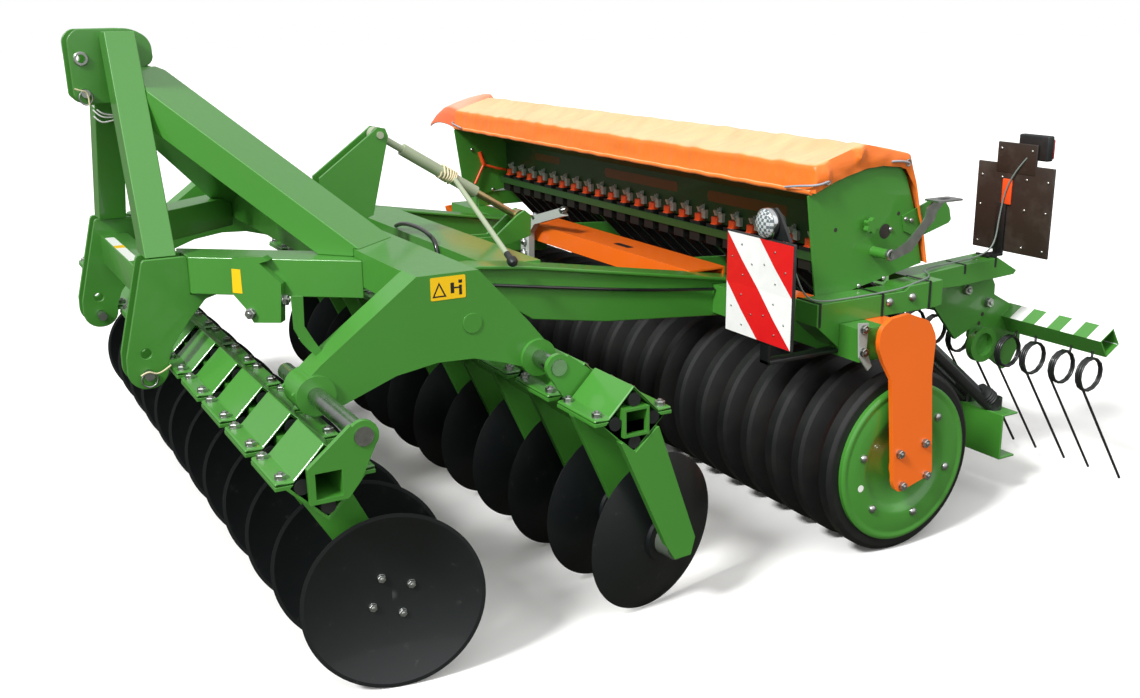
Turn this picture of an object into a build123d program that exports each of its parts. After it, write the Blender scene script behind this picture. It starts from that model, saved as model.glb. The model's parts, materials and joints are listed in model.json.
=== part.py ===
"""Mounted seed drill: two rows of sprung discs, a wedge ring roller, a box drill and a following harrow.

Millimetres, +Z up, ground at z = 0. The hitch faces -Y, +X is the machine's left side, and the origin
lies under the middle of the machine.
"""
import math
import os

from build123d import *

os.makedirs("parts", exist_ok=True)

# Discs: rim diameter, pitch across the row, dish and cut angles of each row
DISC_D = 460
DISC_T = 5
DISC_DISH = 46
DISC_PITCH = 250
DISCS = 12
# row: rim centre x of the left-hand disc, rim centre y, cut angle, tilt, side of the hub
ROWS = {
    "front": (1454, -1090, 11.7, 2.1, -1),
    "rear": (1427, -315, 12.2, -3.2, 1),
}
HUB_D = 92
HUB_FLANGE_D = 136
HUB_FLANGE_T = 8
HUB_FLANGE_SEAT = 4.5
RUN_GAP = 0.3
HUB_SEAT = 11

# Disc gangs: square tube, rubber cords on its four faces, split housings turned by 45 degrees
GANG_Z = 608
GANG_TUBE = 78
GANG_WALL = 8
CORD_D = 36
SEAT = 0.3
HOUSING_WALL = 8
CLAMP_L = 200
CLAMP_X = 1430
FLANGE_W = 42
FLANGE_T = 10
FLANGE_RISE = 9
GANG_RIGHT_END = -1445
# gang: tube y, tube end x, shaft y, shaft z, outer face of the left ear, shaft end x
GANGS = {
    "front": (-1264, 1550, -1177, 708, 1550, 1554),
    "rear": (-443, 1544, -548, 714, 1322, 1326),
}
SHAFT_D = 46
EAR_T = 15
BOSS_D = 104
ARM_T = 24

# Main frame
FRAME_TOP = 978
CHEEK_X = 1200
CHEEK_W = 100
CHEEK_WALL = 12
SADDLE_FRONT = -900
SADDLE_REAR = -719
SADDLE_DEPTH = 100
PLATE_T = 15
LOWER_HITCH = (-1451, 681)
LOWER_HITCH_X = 470
LOWER_PIN_D = 29
HITCH_TOP = 955
TOP_BORE = (-1481, 1506)
TOP_BORE_D = 26
TOP_PLATE_X = 60
PARK_DROP = 102
POST_W = 100
POST_D = 88
POST_TOP = 1585
HITCH_DEPTH = 140
BEAM_W = 130
DIAGONAL_Z = 900
DIAGONAL_H = 110
STRUT_W = 200
STRUT_H = 95
STRUT_START = (100, -1344, 1440)
STRUT_FOOT = (695, -813, 922)

# Rear frame, hinged to the saddle, and the turnbuckle that holds it
PIVOT = (-741, 836)
PIVOT_D = 50
PIN_PLAY = 0.2
ARM_X = 700
ARM_W = 76
LUG_R = 36
EAR_R = 38
EAR_GAP = 5
FLANGE_THICK = 12
FLANGE_LIP = 14
FRONT_CROSS = (-430, -250, 790, 862)
LINK_FRONT = (-540, 1225)
LINK_REAR = (12, 884)
LINK_PIN_D = 25
LINK_EYE_D = 34
LINK_ROD_D = 26
LEVER_AT = 335
LEVER_END = (790, -415, 897)
LEVER_D = 18
CROSS_BEAM = (430, 672)
CROSS_BEAM_SIZE = 100
CROSS_BEAM_X = 1470

# Roller
RING_D = 580
ROLLER = (548, RING_D / 2)
RING_PITCH = 128
RINGS = 24
RING_TREAD = 48
RING_FOOT = 104
RING_RISE = 70
DRUM_D = RING_D - 2 * RING_RISE
DRUM_WALL = 8
ROLLER_HALF = (RINGS - 1) / 2 * RING_PITCH + RING_TREAD / 2 + 2
END_DISC_D = 500
END_DISC_T = 10
BEARING_D = 130
AXLE_D = 60
ROLLER_ARM_X = ROLLER_HALF + 38
ROLLER_ARM_T = 15
ORANGE_INNER = (330, 485, 690, 760)
ORANGE_OUTER = (480, 560, 625, 722)
BOX_WALL = 8

# Drill
HOPPER_X = 1280
END_T = 6
SIDE_BEAM_X = 1280
SIDE_BEAM_T = 100
SIDE_BEAM_TOP = 790
SIDE_BEAM_H = 68
SIDE_BEAM_END = 800
FAR_BEAM_START = 440
CRANK = (595, 903)
CRANK_D = 32
CRANK_REACH = 70
UNIT_PITCH = 105
UNITS = 24
TUBE_D = 45
TUBE_SPREAD = 1.1
COULTER_Y = 1105
COULTER_Z = 150
COULTER_H = 160
COULTER_W = 75
COULTER_X = 1400
CARRIER_X = 1168
CARRIER_T = 14
HANGER_X = 440

# Following harrow
HARROW_PIVOT = (1236, 640)
HARROW_BEAM = (1387, 561)
HARROW_BEAM_SIZE = 70
HARROW_TURN = 32
TINE_PITCH = 114.8
TINES = 28
COIL = (1331, 456)
COIL_D = 120
WIRE_D = 9
TINE_TIP = (1541, 50)
HARROW_PIN_D = 24
QUADRANT_X = 1146
QUADRANT_T = 14

# Boards and lamps: centre x, face y, low z, width, height
FRONT_BOARD = (1330, 110, 700, 302, 300)
REAR_BOARD = (1285, 1200, 840, 310, 290)
BOARD_T = 5
REAR_BOARD_TOP = 1200
FRONT_LAMP = (1360, 125, 1048)
FRONT_LAMP_D = 88
REAR_LAMP = (1340, 1222, 1206)


def face_yz(points):
    """Closed outline in the machine's side view, as a face at x = 0."""
    return Plane.YZ * make_face(Polyline(*points, close=True))


def plate(points, x0, x1):
    """Flat plate cut to a side-view outline, from x0 to x1."""
    return Pos(x0, 0, 0) * extrude(face_yz(points), x1 - x0)


def block(x0, x1, y0, y1, z0, z1):
    """Rectangular piece between two corners."""
    middle = Pos((x0 + x1) / 2, (y0 + y1) / 2, (z0 + z1) / 2)
    return middle * Box(abs(x1 - x0), abs(y1 - y0), abs(z1 - z0))


def rod_x(y, z, diameter, x0, x1):
    """Round bar across the machine."""
    return Pos((x0 + x1) / 2, y, z) * Rot(0, 90, 0) * Cylinder(diameter / 2, abs(x1 - x0))


def rod(start, end, diameter):
    """Round bar between two points."""
    start, end = Vector(*start), Vector(*end)
    section = Plane(origin=start, z_dir=end - start) * Circle(diameter / 2)
    return extrude(section, (end - start).length)


def bar(start, end, width, height, up=(0, 0, 1)):
    """Rectangular bar between two points, its height towards up."""
    start, end = Vector(*start), Vector(*end)
    run = end - start
    side = run.cross(Vector(*up)).normalized()
    section = Plane(origin=start, x_dir=side, z_dir=run) * Rectangle(width, height)
    return extrude(section, run.length)


def square_tube(y, z, size, wall, x0, x1, turn=0):
    """Square hollow section across the machine, turned about its own axis."""
    outline = Rectangle(size, size) - Rectangle(size - 2 * wall, size - 2 * wall)
    section = Plane(origin=(x0, y, z), x_dir=(0, 1, 0), z_dir=(1, 0, 0)) * Rot(0, 0, turn) * outline
    return extrude(section, x1 - x0)


def square_bar(y, z, size, x0, x1, turn=0):
    """Square bar across the machine, turned about its own axis."""
    section = Plane(origin=(x0, y, z), x_dir=(0, 1, 0), z_dir=(1, 0, 0)) * Rot(0, 0, turn) * Rectangle(size, size)
    return extrude(section, x1 - x0)


def both_sides(piece):
    """The piece and its mirror image on the machine's right side."""
    return [piece, mirror(piece, Plane.YZ)]


def rounded(points, radius, y, z):
    """Outline of straight edges ending in a round eye about y, z."""
    outline = make_face(Polyline(*points, close=True)) + Pos(y, z) * Circle(radius)
    return Plane.YZ * outline


def softened(points, radius):
    """Closed side-view outline with its corners rounded."""
    flat = make_face(Polyline(*points, close=True))
    return Plane.YZ * fillet(flat.vertices(), radius)


def save(name, solids):
    """Write one node from its solids."""
    flat = []
    for piece in solids if isinstance(solids, list) else [solids]:
        flat.extend(piece.solids())
    shape = flat[0] if len(flat) == 1 else Compound(children=flat)
    export_step(shape, f"parts/{name}.step")


def disc_axis(row):
    """Axis of a row's discs, from the dish towards the hub, and the height of the rim centre."""
    angle, tilt, side = (math.radians(ROWS[row][2]), math.radians(ROWS[row][3]), ROWS[row][4])
    swing = math.sin(angle) if row == "rear" else -math.sin(angle)
    axis = Vector(math.cos(angle) * math.cos(tilt), swing * math.cos(tilt), math.sin(tilt)) * side
    return axis, DISC_D / 2 * math.cos(tilt)


def disc_centre(row, number):
    """Middle of the rim plane of one disc."""
    x, y = ROWS[row][:2]
    return Vector(x - DISC_PITCH * number, y, disc_axis(row)[1])


def disc_plane(row, number, along=0):
    """Plane across a disc's axis, at a distance from the rim plane towards the hub."""
    axis = disc_axis(row)[0]
    return Plane(origin=disc_centre(row, number) + axis * along, x_dir=(0, 0, 1), z_dir=axis)


def dished_disc():
    """Dished steel disc: a spherical shell, its hollow side facing down the axis."""
    radius = (DISC_D ** 2 / 4 + DISC_DISH ** 2) / (2 * DISC_DISH)
    outer = Pos(0, 0, DISC_DISH - radius) * Sphere(radius)
    inner = Pos(0, 0, DISC_DISH - radius - DISC_T) * Sphere(radius)
    bound = Pos(0, 0, DISC_DISH / 2) * Cylinder(DISC_D / 2, DISC_DISH + 2)
    depth = HUB_FLANGE_T + HUB_FLANGE_SEAT
    middle = DISC_DISH - HUB_FLANGE_SEAT + depth / 2
    flange = Pos(0, 0, middle) * Cylinder(HUB_FLANGE_D / 2, depth)
    return ((outer - inner) & bound) + flange


def hub_end(row):
    """Distance along the axis from the rim plane to the face of the arm."""
    return 92 if row == "rear" else 96


def disc_arm(row, number):
    """Flat arm from the gang housing down to the hub, as wide as its hub boss."""
    tube_y = GANGS[row][0]
    hub = disc_centre(row, number) + disc_axis(row)[0] * (hub_end(row) + ARM_T / 2)
    outline = [(tube_y - 46, GANG_Z - 52), (tube_y + 72, GANG_Z - 26), (hub.Y + 44, hub.Z + 16),
               (hub.Y + 30, hub.Z - 34), (hub.Y - 22, hub.Z - 36), (hub.Y - 50, hub.Z + 10)]
    return plate(outline, hub.X - ARM_T / 2, hub.X + ARM_T / 2)


def build_discs():
    """Twenty-four discs that turn freely, each with the flange it is bolted to."""
    disc = dished_disc()
    for row in ROWS:
        for number in range(DISCS):
            save(f"disc_{row}_{number + 1:02d}", disc_plane(row, number).location * disc)


def build_hubs():
    """Sealed bearing hubs on the arms, one behind each disc."""
    hubs = []
    start = DISC_DISH + HUB_FLANGE_T + RUN_GAP
    for row in ROWS:
        for number in range(DISCS):
            length = hub_end(row) + HUB_SEAT - start
            body = Pos(0, 0, start + length / 2) * Cylinder(HUB_D / 2, length)
            hubs.append(disc_plane(row, number).location * body - disc_arm(row, number))
    save("disc_hubs", hubs)


def housing_half(upper):
    """Side-view outline of half a housing about the gang tube's axis."""
    inner = (GANG_TUBE / 2 + SEAT + CORD_D / 2) + (CORD_D / 2 + SEAT) * math.sqrt(2)
    outer = inner + HOUSING_WALL * math.sqrt(2)
    rise = FLANGE_RISE
    if upper:
        edge = outer - rise - FLANGE_T
        points = [(-edge - FLANGE_W, rise), (-edge - FLANGE_W, rise + FLANGE_T), (-edge, rise + FLANGE_T),
                  (0, outer), (edge, rise + FLANGE_T), (edge + FLANGE_W, rise + FLANGE_T),
                  (edge + FLANGE_W, rise), (inner - rise, rise), (0, inner), (rise - inner, rise)]
    else:
        edge = outer - rise - FLANGE_T
        shoulder = outer - (FLANGE_T - rise)
        points = [(-edge - FLANGE_W, rise), (-edge - FLANGE_W, rise - FLANGE_T), (-shoulder, rise - FLANGE_T),
                  (0, -outer), (shoulder, rise - FLANGE_T), (edge + FLANGE_W, rise - FLANGE_T),
                  (edge + FLANGE_W, rise), (inner - rise, rise), (inner, 0), (0, -inner), (-inner, 0),
                  (rise - inner, rise)]
    return points


def build_gangs():
    """Gang tubes with their ears, shafts, split housings, rubber cords and disc arms."""
    tubes, shafts, covers, arms, cords = [], [], [], [], []
    cord_at = GANG_TUBE / 2 + SEAT + CORD_D / 2
    for row, (tube_y, tube_end, shaft_y, shaft_z, ear_x, shaft_end) in GANGS.items():
        tube = square_tube(tube_y, GANG_Z, GANG_TUBE, GANG_WALL, GANG_RIGHT_END, tube_end)
        lean = 1 if shaft_y > tube_y else -1
        ear = [(tube_y - lean * 46, GANG_Z - 42), (tube_y - lean * 48, GANG_Z + 44),
               (shaft_y - lean * 30, shaft_z + 30), (shaft_y + lean * 34, shaft_z - 12),
               (tube_y + lean * 76, GANG_Z - 4), (tube_y + lean * 44, GANG_Z - 42)]
        ear_face = rounded(ear, 37, shaft_y, shaft_z)
        hole = Plane.YZ * (Pos(tube_y, GANG_Z) * Rectangle(GANG_TUBE - 2, GANG_TUBE - 2))
        bore = Plane.YZ * (Pos(shaft_y, shaft_z) * Circle(SHAFT_D / 2))
        ear_solid = extrude(ear_face - hole - bore, -EAR_T)
        left = Pos(ear_x, 0, 0) * ear_solid
        right = Pos(GANG_RIGHT_END + EAR_T + 1, 0, 0) * ear_solid
        tubes.append(tube + left + right)
        shafts.append(rod_x(shaft_y, shaft_z, SHAFT_D, CHEEK_X - 250, shaft_end))
        shafts.append(rod_x(shaft_y, shaft_z, SHAFT_D, GANG_RIGHT_END - 4, -(CHEEK_X - 250)))
        for number in range(DISCS):
            x = CLAMP_X - DISC_PITCH * number
            x0, x1 = x - CLAMP_L / 2, x + CLAMP_L / 2
            upper = plate([(tube_y + y, GANG_Z + z) for y, z in housing_half(True)], x0, x1)
            lower = plate([(tube_y + y, GANG_Z + z) for y, z in housing_half(False)], x0, x1)
            covers.append(upper)
            leg = disc_arm(row, number)
            core = plate([(tube_y + y, GANG_Z + z) for y, z in
                          [(0, 95), (95, 0), (0, -84), (-95, 0)]], x0 - 100, x1 + 100)
            arms.append(lower + (leg - core))
            for y, z in ((cord_at, 0), (-cord_at, 0), (0, cord_at), (0, -cord_at)):
                cords.append(rod_x(tube_y + y, GANG_Z + z, CORD_D, x0, x1 + 4))
    save("gang_beams", tubes)
    save("gang_shafts", shafts)
    save("arm_covers", covers)
    save("disc_arms", arms)
    save("rubber_cords", cords)


def build_headstock():
    """Three-point headstock: posts, top plates, lower hitch plates, pins and cross beam."""
    top_x = TOP_PLATE_X + PLATE_T / 2 + POST_W / 2
    post = bar((LOWER_HITCH_X - 42, -1380, 900), (top_x - 4, -1380, 1590), POST_D, POST_W, (1, 0, 0))
    post -= block(0, 600, -1500, -1300, 800, HITCH_TOP)
    post -= block(0, 600, -1500, -1300, POST_TOP, 1700)
    post -= block(0, TOP_PLATE_X + PLATE_T / 2, -1500, -1300, 900, 1700)
    save("headstock_posts", both_sides(post))
    top_y, top_z = TOP_BORE
    park_z = top_z - PARK_DROP
    outline = [(top_y - 8, top_z + 86), (top_y + 150, top_z + 88), (top_y + 205, top_z + 56),
               (top_y + 210, top_z - 14), (top_y + 110, top_z - 66), (top_y + 95, park_z - 30),
               (top_y - 4, park_z - 36), (top_y - 30, park_z - 10), (top_y - 34, top_z + 60)]
    face = softened(outline, 16)
    for z in (top_z, park_z):
        face -= Plane.YZ * (Pos(top_y, z) * Circle(TOP_BORE_D / 2))
    cheek = Pos(TOP_PLATE_X - PLATE_T / 2, 0, 0) * extrude(face, PLATE_T)
    save("top_link_plates", both_sides(cheek))

    hitch_y, hitch_z = LOWER_HITCH
    low = hitch_z - 62
    rear = hitch_y + HITCH_DEPTH
    beam_low = DIAGONAL_Z - DIAGONAL_H / 2
    outline = [(hitch_y + 14, HITCH_TOP), (rear, HITCH_TOP), (rear, beam_low - 4), (rear + 110, beam_low - 4),
               (rear + 40, beam_low - 22), (rear - 9, beam_low - 80), (hitch_y + 75, 690),
               (hitch_y + 58, low + 20), (hitch_y + 48, low - 30), (hitch_y + 22, low - 46),
               (hitch_y - 26, low - 42), (hitch_y - 56, hitch_z - 10)]
    face = face_yz(outline)
    for z in (hitch_z, low):
        face -= Plane.YZ * (Pos(hitch_y, z) * Circle(LOWER_PIN_D / 2 + 0.5))
    plates = []
    for x in (LOWER_HITCH_X, LOWER_HITCH_X - 90):
        plates.extend(both_sides(Pos(x - PLATE_T / 2, 0, 0) * extrude(face, PLATE_T)))
    inner = LOWER_HITCH_X - 90 - PLATE_T / 2
    across = block(-inner, inner, -1425, -1335, 800, 900) - block(-inner, inner, -1417, -1343, 808, 892)
    plates[2] = plates[2] + across + plates[3]
    save("hitch_plates", plates[:3])
    reach = LOWER_HITCH_X + PLATE_T / 2 + 22
    pins = both_sides(rod_x(hitch_y, low, LOWER_PIN_D, reach - 165, reach))
    pins.append(rod_x(top_y, park_z, TOP_BORE_D - 1, -TOP_PLATE_X - 30, TOP_PLATE_X + 34))
    save("hitch_pins", pins)


def build_frame():
    """Diagonal beams and struts, the saddle across the machine with its pivot ears, and its cheeks."""
    front = LOWER_HITCH[0] + HITCH_DEPTH
    beam = bar((LOWER_HITCH_X - 100, -1360, DIAGONAL_Z), (795, SADDLE_FRONT + 80, DIAGONAL_Z),
               BEAM_W, DIAGONAL_H)
    beam -= block(0, 1200, -1500, front, 700, 1100)
    beam -= block(0, 1200, SADDLE_FRONT, 0, 700, 1100)
    save("diagonal_beams", both_sides(beam))
    start, foot = Vector(*STRUT_START), Vector(*STRUT_FOOT)
    end = foot + (foot - start) * 0.15
    strut = bar(start, end, STRUT_W, STRUT_H)
    strut -= bar(start, end, STRUT_W - 2 * BOX_WALL, STRUT_H - 2 * BOX_WALL)
    strut -= block(0, 2000, SADDLE_FRONT, 0, 0, FRAME_TOP)
    strut -= block(-100, 900, -1600, -1336, 900, 1700)
    strut -= block(-300, TOP_PLATE_X + PLATE_T / 2, -1600, -1000, 900, 1700)
    save("strut_beams", both_sides(strut - beam))

    inner = CHEEK_X - CHEEK_W
    base = FRAME_TOP - SADDLE_DEPTH
    saddle = block(-inner, inner, SADDLE_FRONT, SADDLE_REAR, base, FRAME_TOP)
    saddle -= block(-inner, inner, SADDLE_FRONT + 10, SADDLE_REAR - 10, base + 10, FRAME_TOP - 10)
    pivot_y, pivot_z = PIVOT
    ear = rounded([(pivot_y - 90, base + 2), (SADDLE_REAR, base + 2), (pivot_y + EAR_R, pivot_z),
                   (pivot_y, pivot_z - EAR_R), (pivot_y - EAR_R, pivot_z)], EAR_R, pivot_y, pivot_z)
    ear -= Plane.YZ * (Pos(pivot_y, pivot_z) * Circle((PIVOT_D + PIN_PLAY) / 2))
    for x in (ARM_X - ARM_W / 2 - EAR_GAP - 12, ARM_X + ARM_W / 2 + EAR_GAP):
        for piece in both_sides(Pos(x, 0, 0) * extrude(ear, 12)):
            saddle += piece
    save("saddle_beam", saddle)

    front_y, front_z = GANGS["front"][2:4]
    rear_y, rear_z = GANGS["rear"][2:4]
    outline = [(front_y - 58, front_z + 8), (front_y + 20, front_z + 76), (SADDLE_FRONT + 6, FRAME_TOP),
               (SADDLE_REAR, FRAME_TOP), (-573, 819), (rear_y + 52, rear_z + 10), (rear_y + 30, rear_z - 48),
               (-660, 716), (-740, 738), (-843, 742), (-960, 724), (front_y + 62, front_z - 42),
               (front_y - 8, front_z - 62)]
    skin = face_yz(outline)
    walls = [extrude(skin, CHEEK_WALL), Pos(CHEEK_W - CHEEK_WALL, 0, 0) * extrude(skin, CHEEK_WALL)]
    front_web = [(front_y - 10, front_z + 50), (front_y + 20, front_z + 76), (SADDLE_FRONT + 6, FRAME_TOP),
                 (SADDLE_REAR, FRAME_TOP), (SADDLE_REAR, FRAME_TOP - 12), (SADDLE_FRONT + 12, FRAME_TOP - 12),
                 (front_y + 22, front_z + 60), (front_y, front_z + 40)]
    cheek = walls[0] + walls[1] + extrude(face_yz(front_web), CHEEK_W)
    for y, z in ((front_y, front_z), (rear_y, rear_z)):
        cheek += rod_x(y, z, BOSS_D, 0, CHEEK_W + 10)
    for y, z in ((front_y, front_z), (rear_y, rear_z)):
        cheek -= rod_x(y, z, SHAFT_D, -10, CHEEK_W + 20)
    cheek += rod_x(*PIVOT, PIVOT_D + 4, CHEEK_W, CHEEK_W + 3)
    save("saddle_cheeks", both_sides(Pos(CHEEK_X - CHEEK_W, 0, 0) * cheek))

    y, z = LINK_FRONT
    outline = [(y - 28, z + 10), (y - 6, z + 27), (y + 20, z + 22), (y + 30, z - 4), (y - 38, 951),
               (SADDLE_REAR, FRAME_TOP - 80), (SADDLE_REAR, FRAME_TOP), (y - 215, FRAME_TOP), (y - 224, 1092)]
    bracket = face_yz(outline) - Plane.YZ * (Pos(y, z) * Circle((LINK_PIN_D + PIN_PLAY) / 2))
    bracket_plates = both_sides(Pos(30, 0, 0) * extrude(bracket, 12))
    bracket_pin = rod_x(y, z, LINK_PIN_D, -48, 48)
    save("front_link_bracket", bracket_plates)
    return bracket_pin


def build_rear_frame():
    """Long arms from the saddle's ears, the beams across them, and the turnbuckle's rear bracket."""
    pivot_y, pivot_z = PIVOT
    y, z = CROSS_BEAM
    half = CROSS_BEAM_SIZE / 2
    rear = y + half + 5
    top = [(-640, 880), (-505, 885), (-334, 866), (-80, 822), (330, 757), (rear, 732)]
    low = [(rear, 607), (460, 603), (-50, 646), (-322, 690), (-400, 742), (-600, 772)]
    web = rounded([(pivot_y, pivot_z + LUG_R), (-690, 876)] + top + low + [(pivot_y, pivot_z - LUG_R)],
                  LUG_R, pivot_y, pivot_z)
    flange = face_yz(top + [(py, pz - FLANGE_THICK) for py, pz in reversed(top)])
    inner = ARM_X - ARM_W / 2
    outer = ARM_X + ARM_W / 2
    arm = Pos(inner, 0, 0) * extrude(web, ARM_W)
    arm += Pos(inner - FLANGE_LIP, 0, 0) * extrude(flange, ARM_W + 2 * FLANGE_LIP)
    reach = EAR_GAP + 12 + 4
    pin = rod_x(pivot_y, pivot_z, PIVOT_D, inner - reach, outer + reach)
    arms = both_sides(arm)
    save("rear_arms", both_sides(arm + pin))
    beam = block(outer, CROSS_BEAM_X, y - half, y + half, z - half, z + half)
    room = half - BOX_WALL
    beam -= block(outer, CROSS_BEAM_X, y - room, y + room, z - room, z + room)
    front_y, rear_y, base, top = FRONT_CROSS
    across = block(-inner, inner, *FRONT_CROSS)
    across -= block(-inner, inner, front_y + BOX_WALL, rear_y - BOX_WALL, base + BOX_WALL, top - BOX_WALL)
    save("rear_cross_beams", both_sides(beam - arm) + [across - arms[0] - arms[1]])

    y, z = LINK_REAR
    outline = [(y - 28, z + 16), (y + 4, z + 32), (y + 30, z + 10), (y + 26, z - 66), (y - 60, base + 4),
               (rear_y, base + 2), (rear_y, base + 42), (y - 120, base + 38)]
    face = face_yz(outline) - Plane.YZ * (Pos(y, z) * Circle(LINK_PIN_D / 2))
    pin = rod_x(y, z, LINK_PIN_D, -42, 42)
    plates = both_sides(Pos(30, 0, 0) * extrude(face, 12))
    save("rear_link_bracket", plates[0] + plates[1] + pin)
    return arms


def build_turnbuckle(front_pin):
    """Turnbuckle: threaded tube on the front bracket's pin, and the rod whose eye sits on the rear pin."""
    start = Vector(0, *LINK_FRONT)
    end = Vector(0, *LINK_REAR)
    run = (end - start).normalized()
    front_eye = rod_x(*LINK_FRONT, 52, -20, 20) + rod(start + run * 20, start + run * 130, 26)
    tube = rod(start + run * 110, start + run * 440, 44)
    hollow = rod(start + run * 135, start + run * 441, LINK_ROD_D + PIN_PLAY)
    grip = start + run * LEVER_AT + Vector(18, 0, 0)
    lever = rod(grip, Vector(*LEVER_END), LEVER_D)
    save("turnbuckle_tube", front_eye + (tube - hollow) + (lever - hollow) + front_pin)
    eye = rod_x(*LINK_REAR, 60, -20, 20) + rod(end - run * 20, end - run * 400, LINK_ROD_D)
    save("turnbuckle_rod", eye - rod_x(*LINK_REAR, LINK_EYE_D, -30, 30))


def build_roller(long_arms):
    """Wedge ring roller: steel drum, rubber rings, dished end discs and its orange frame."""
    y, z = ROLLER
    half = ROLLER_HALF
    drum = rod_x(y, z, DRUM_D, -half, half)
    drum -= rod_x(y, z, DRUM_D - 2 * DRUM_WALL, DRUM_WALL - half, half - DRUM_WALL)
    for stub in both_sides(rod_x(y, z, AXLE_D, half - DRUM_WALL, ROLLER_ARM_X - 1)):
        drum += stub
    save("roller_drum", drum)
    rings = []
    foot = DRUM_D / 2 + SEAT
    rise = RING_D / 2 - DRUM_D / 2
    profile = [(-RING_FOOT / 2, foot), (-RING_FOOT / 2 + 6, foot + rise * 0.22),
               (-RING_TREAD / 2, foot + rise * 0.85), (-RING_TREAD / 2 + 8, RING_D / 2),
               (RING_TREAD / 2 - 8, RING_D / 2), (RING_TREAD / 2, foot + rise * 0.85),
               (RING_FOOT / 2 - 6, foot + rise * 0.22), (RING_FOOT / 2, foot)]
    section = Plane.XY * make_face(Polyline(*profile, close=True))
    ring = revolve(section, Axis.X)
    for number in range(RINGS):
        x = (number - (RINGS - 1) / 2) * RING_PITCH
        piece = Pos(x, y, z) * ring
        if abs(x) + RING_FOOT / 2 > half:
            piece = piece & block(-half, half, y - RING_D, y + RING_D, z - RING_D, z + RING_D)
        rings.append(piece)
    save("roller_rings", rings)
    disc = rod_x(y, z, END_DISC_D, half, half + END_DISC_T) - rod_x(y, z, AXLE_D, half - 10, half + 20)
    save("roller_end_discs", both_sides(disc))

    arm = [(y - 172, z + 400), (y - 165, z + 452), (y - 125, z + 478), (y - 57, z + 484), (y + 30, z + 450),
           (y + 58, z + 400), (y + 55, z + 340), (y + 52, z + 280), (y + 82, z - 40), (y - 58, z - 76),
           (y - 78, z - 50), (y - 112, z + 290), (y - 150, z + 350)]
    side = plate(arm, ROLLER_ARM_X, ROLLER_ARM_X + ROLLER_ARM_T)
    side += rod_x(y, z, BEARING_D, half + END_DISC_T + 6, ROLLER_ARM_X)
    side -= rod_x(y, z, AXLE_D + PIN_PLAY, half, ROLLER_ARM_X)
    outer = ARM_X + ARM_W / 2
    inner = ARM_X - ARM_W / 2
    low, high = ORANGE_OUTER[2:]
    beam = block(outer, ROLLER_ARM_X, *ORANGE_OUTER)
    beam -= block(outer, ROLLER_ARM_X, ORANGE_OUTER[0] + BOX_WALL, ORANGE_OUTER[1] - BOX_WALL,
                  low + BOX_WALL, high - BOX_WALL)
    low, high = ORANGE_INNER[2:]
    middle = block(-inner, inner, *ORANGE_INNER)
    middle -= block(-inner, inner, ORANGE_INNER[0] + BOX_WALL, ORANGE_INNER[1] - BOX_WALL,
                    low + BOX_WALL, high - BOX_WALL)
    save("roller_frame", both_sides(side + beam - long_arms[0]) + [middle - long_arms[0] - long_arms[1]])


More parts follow.
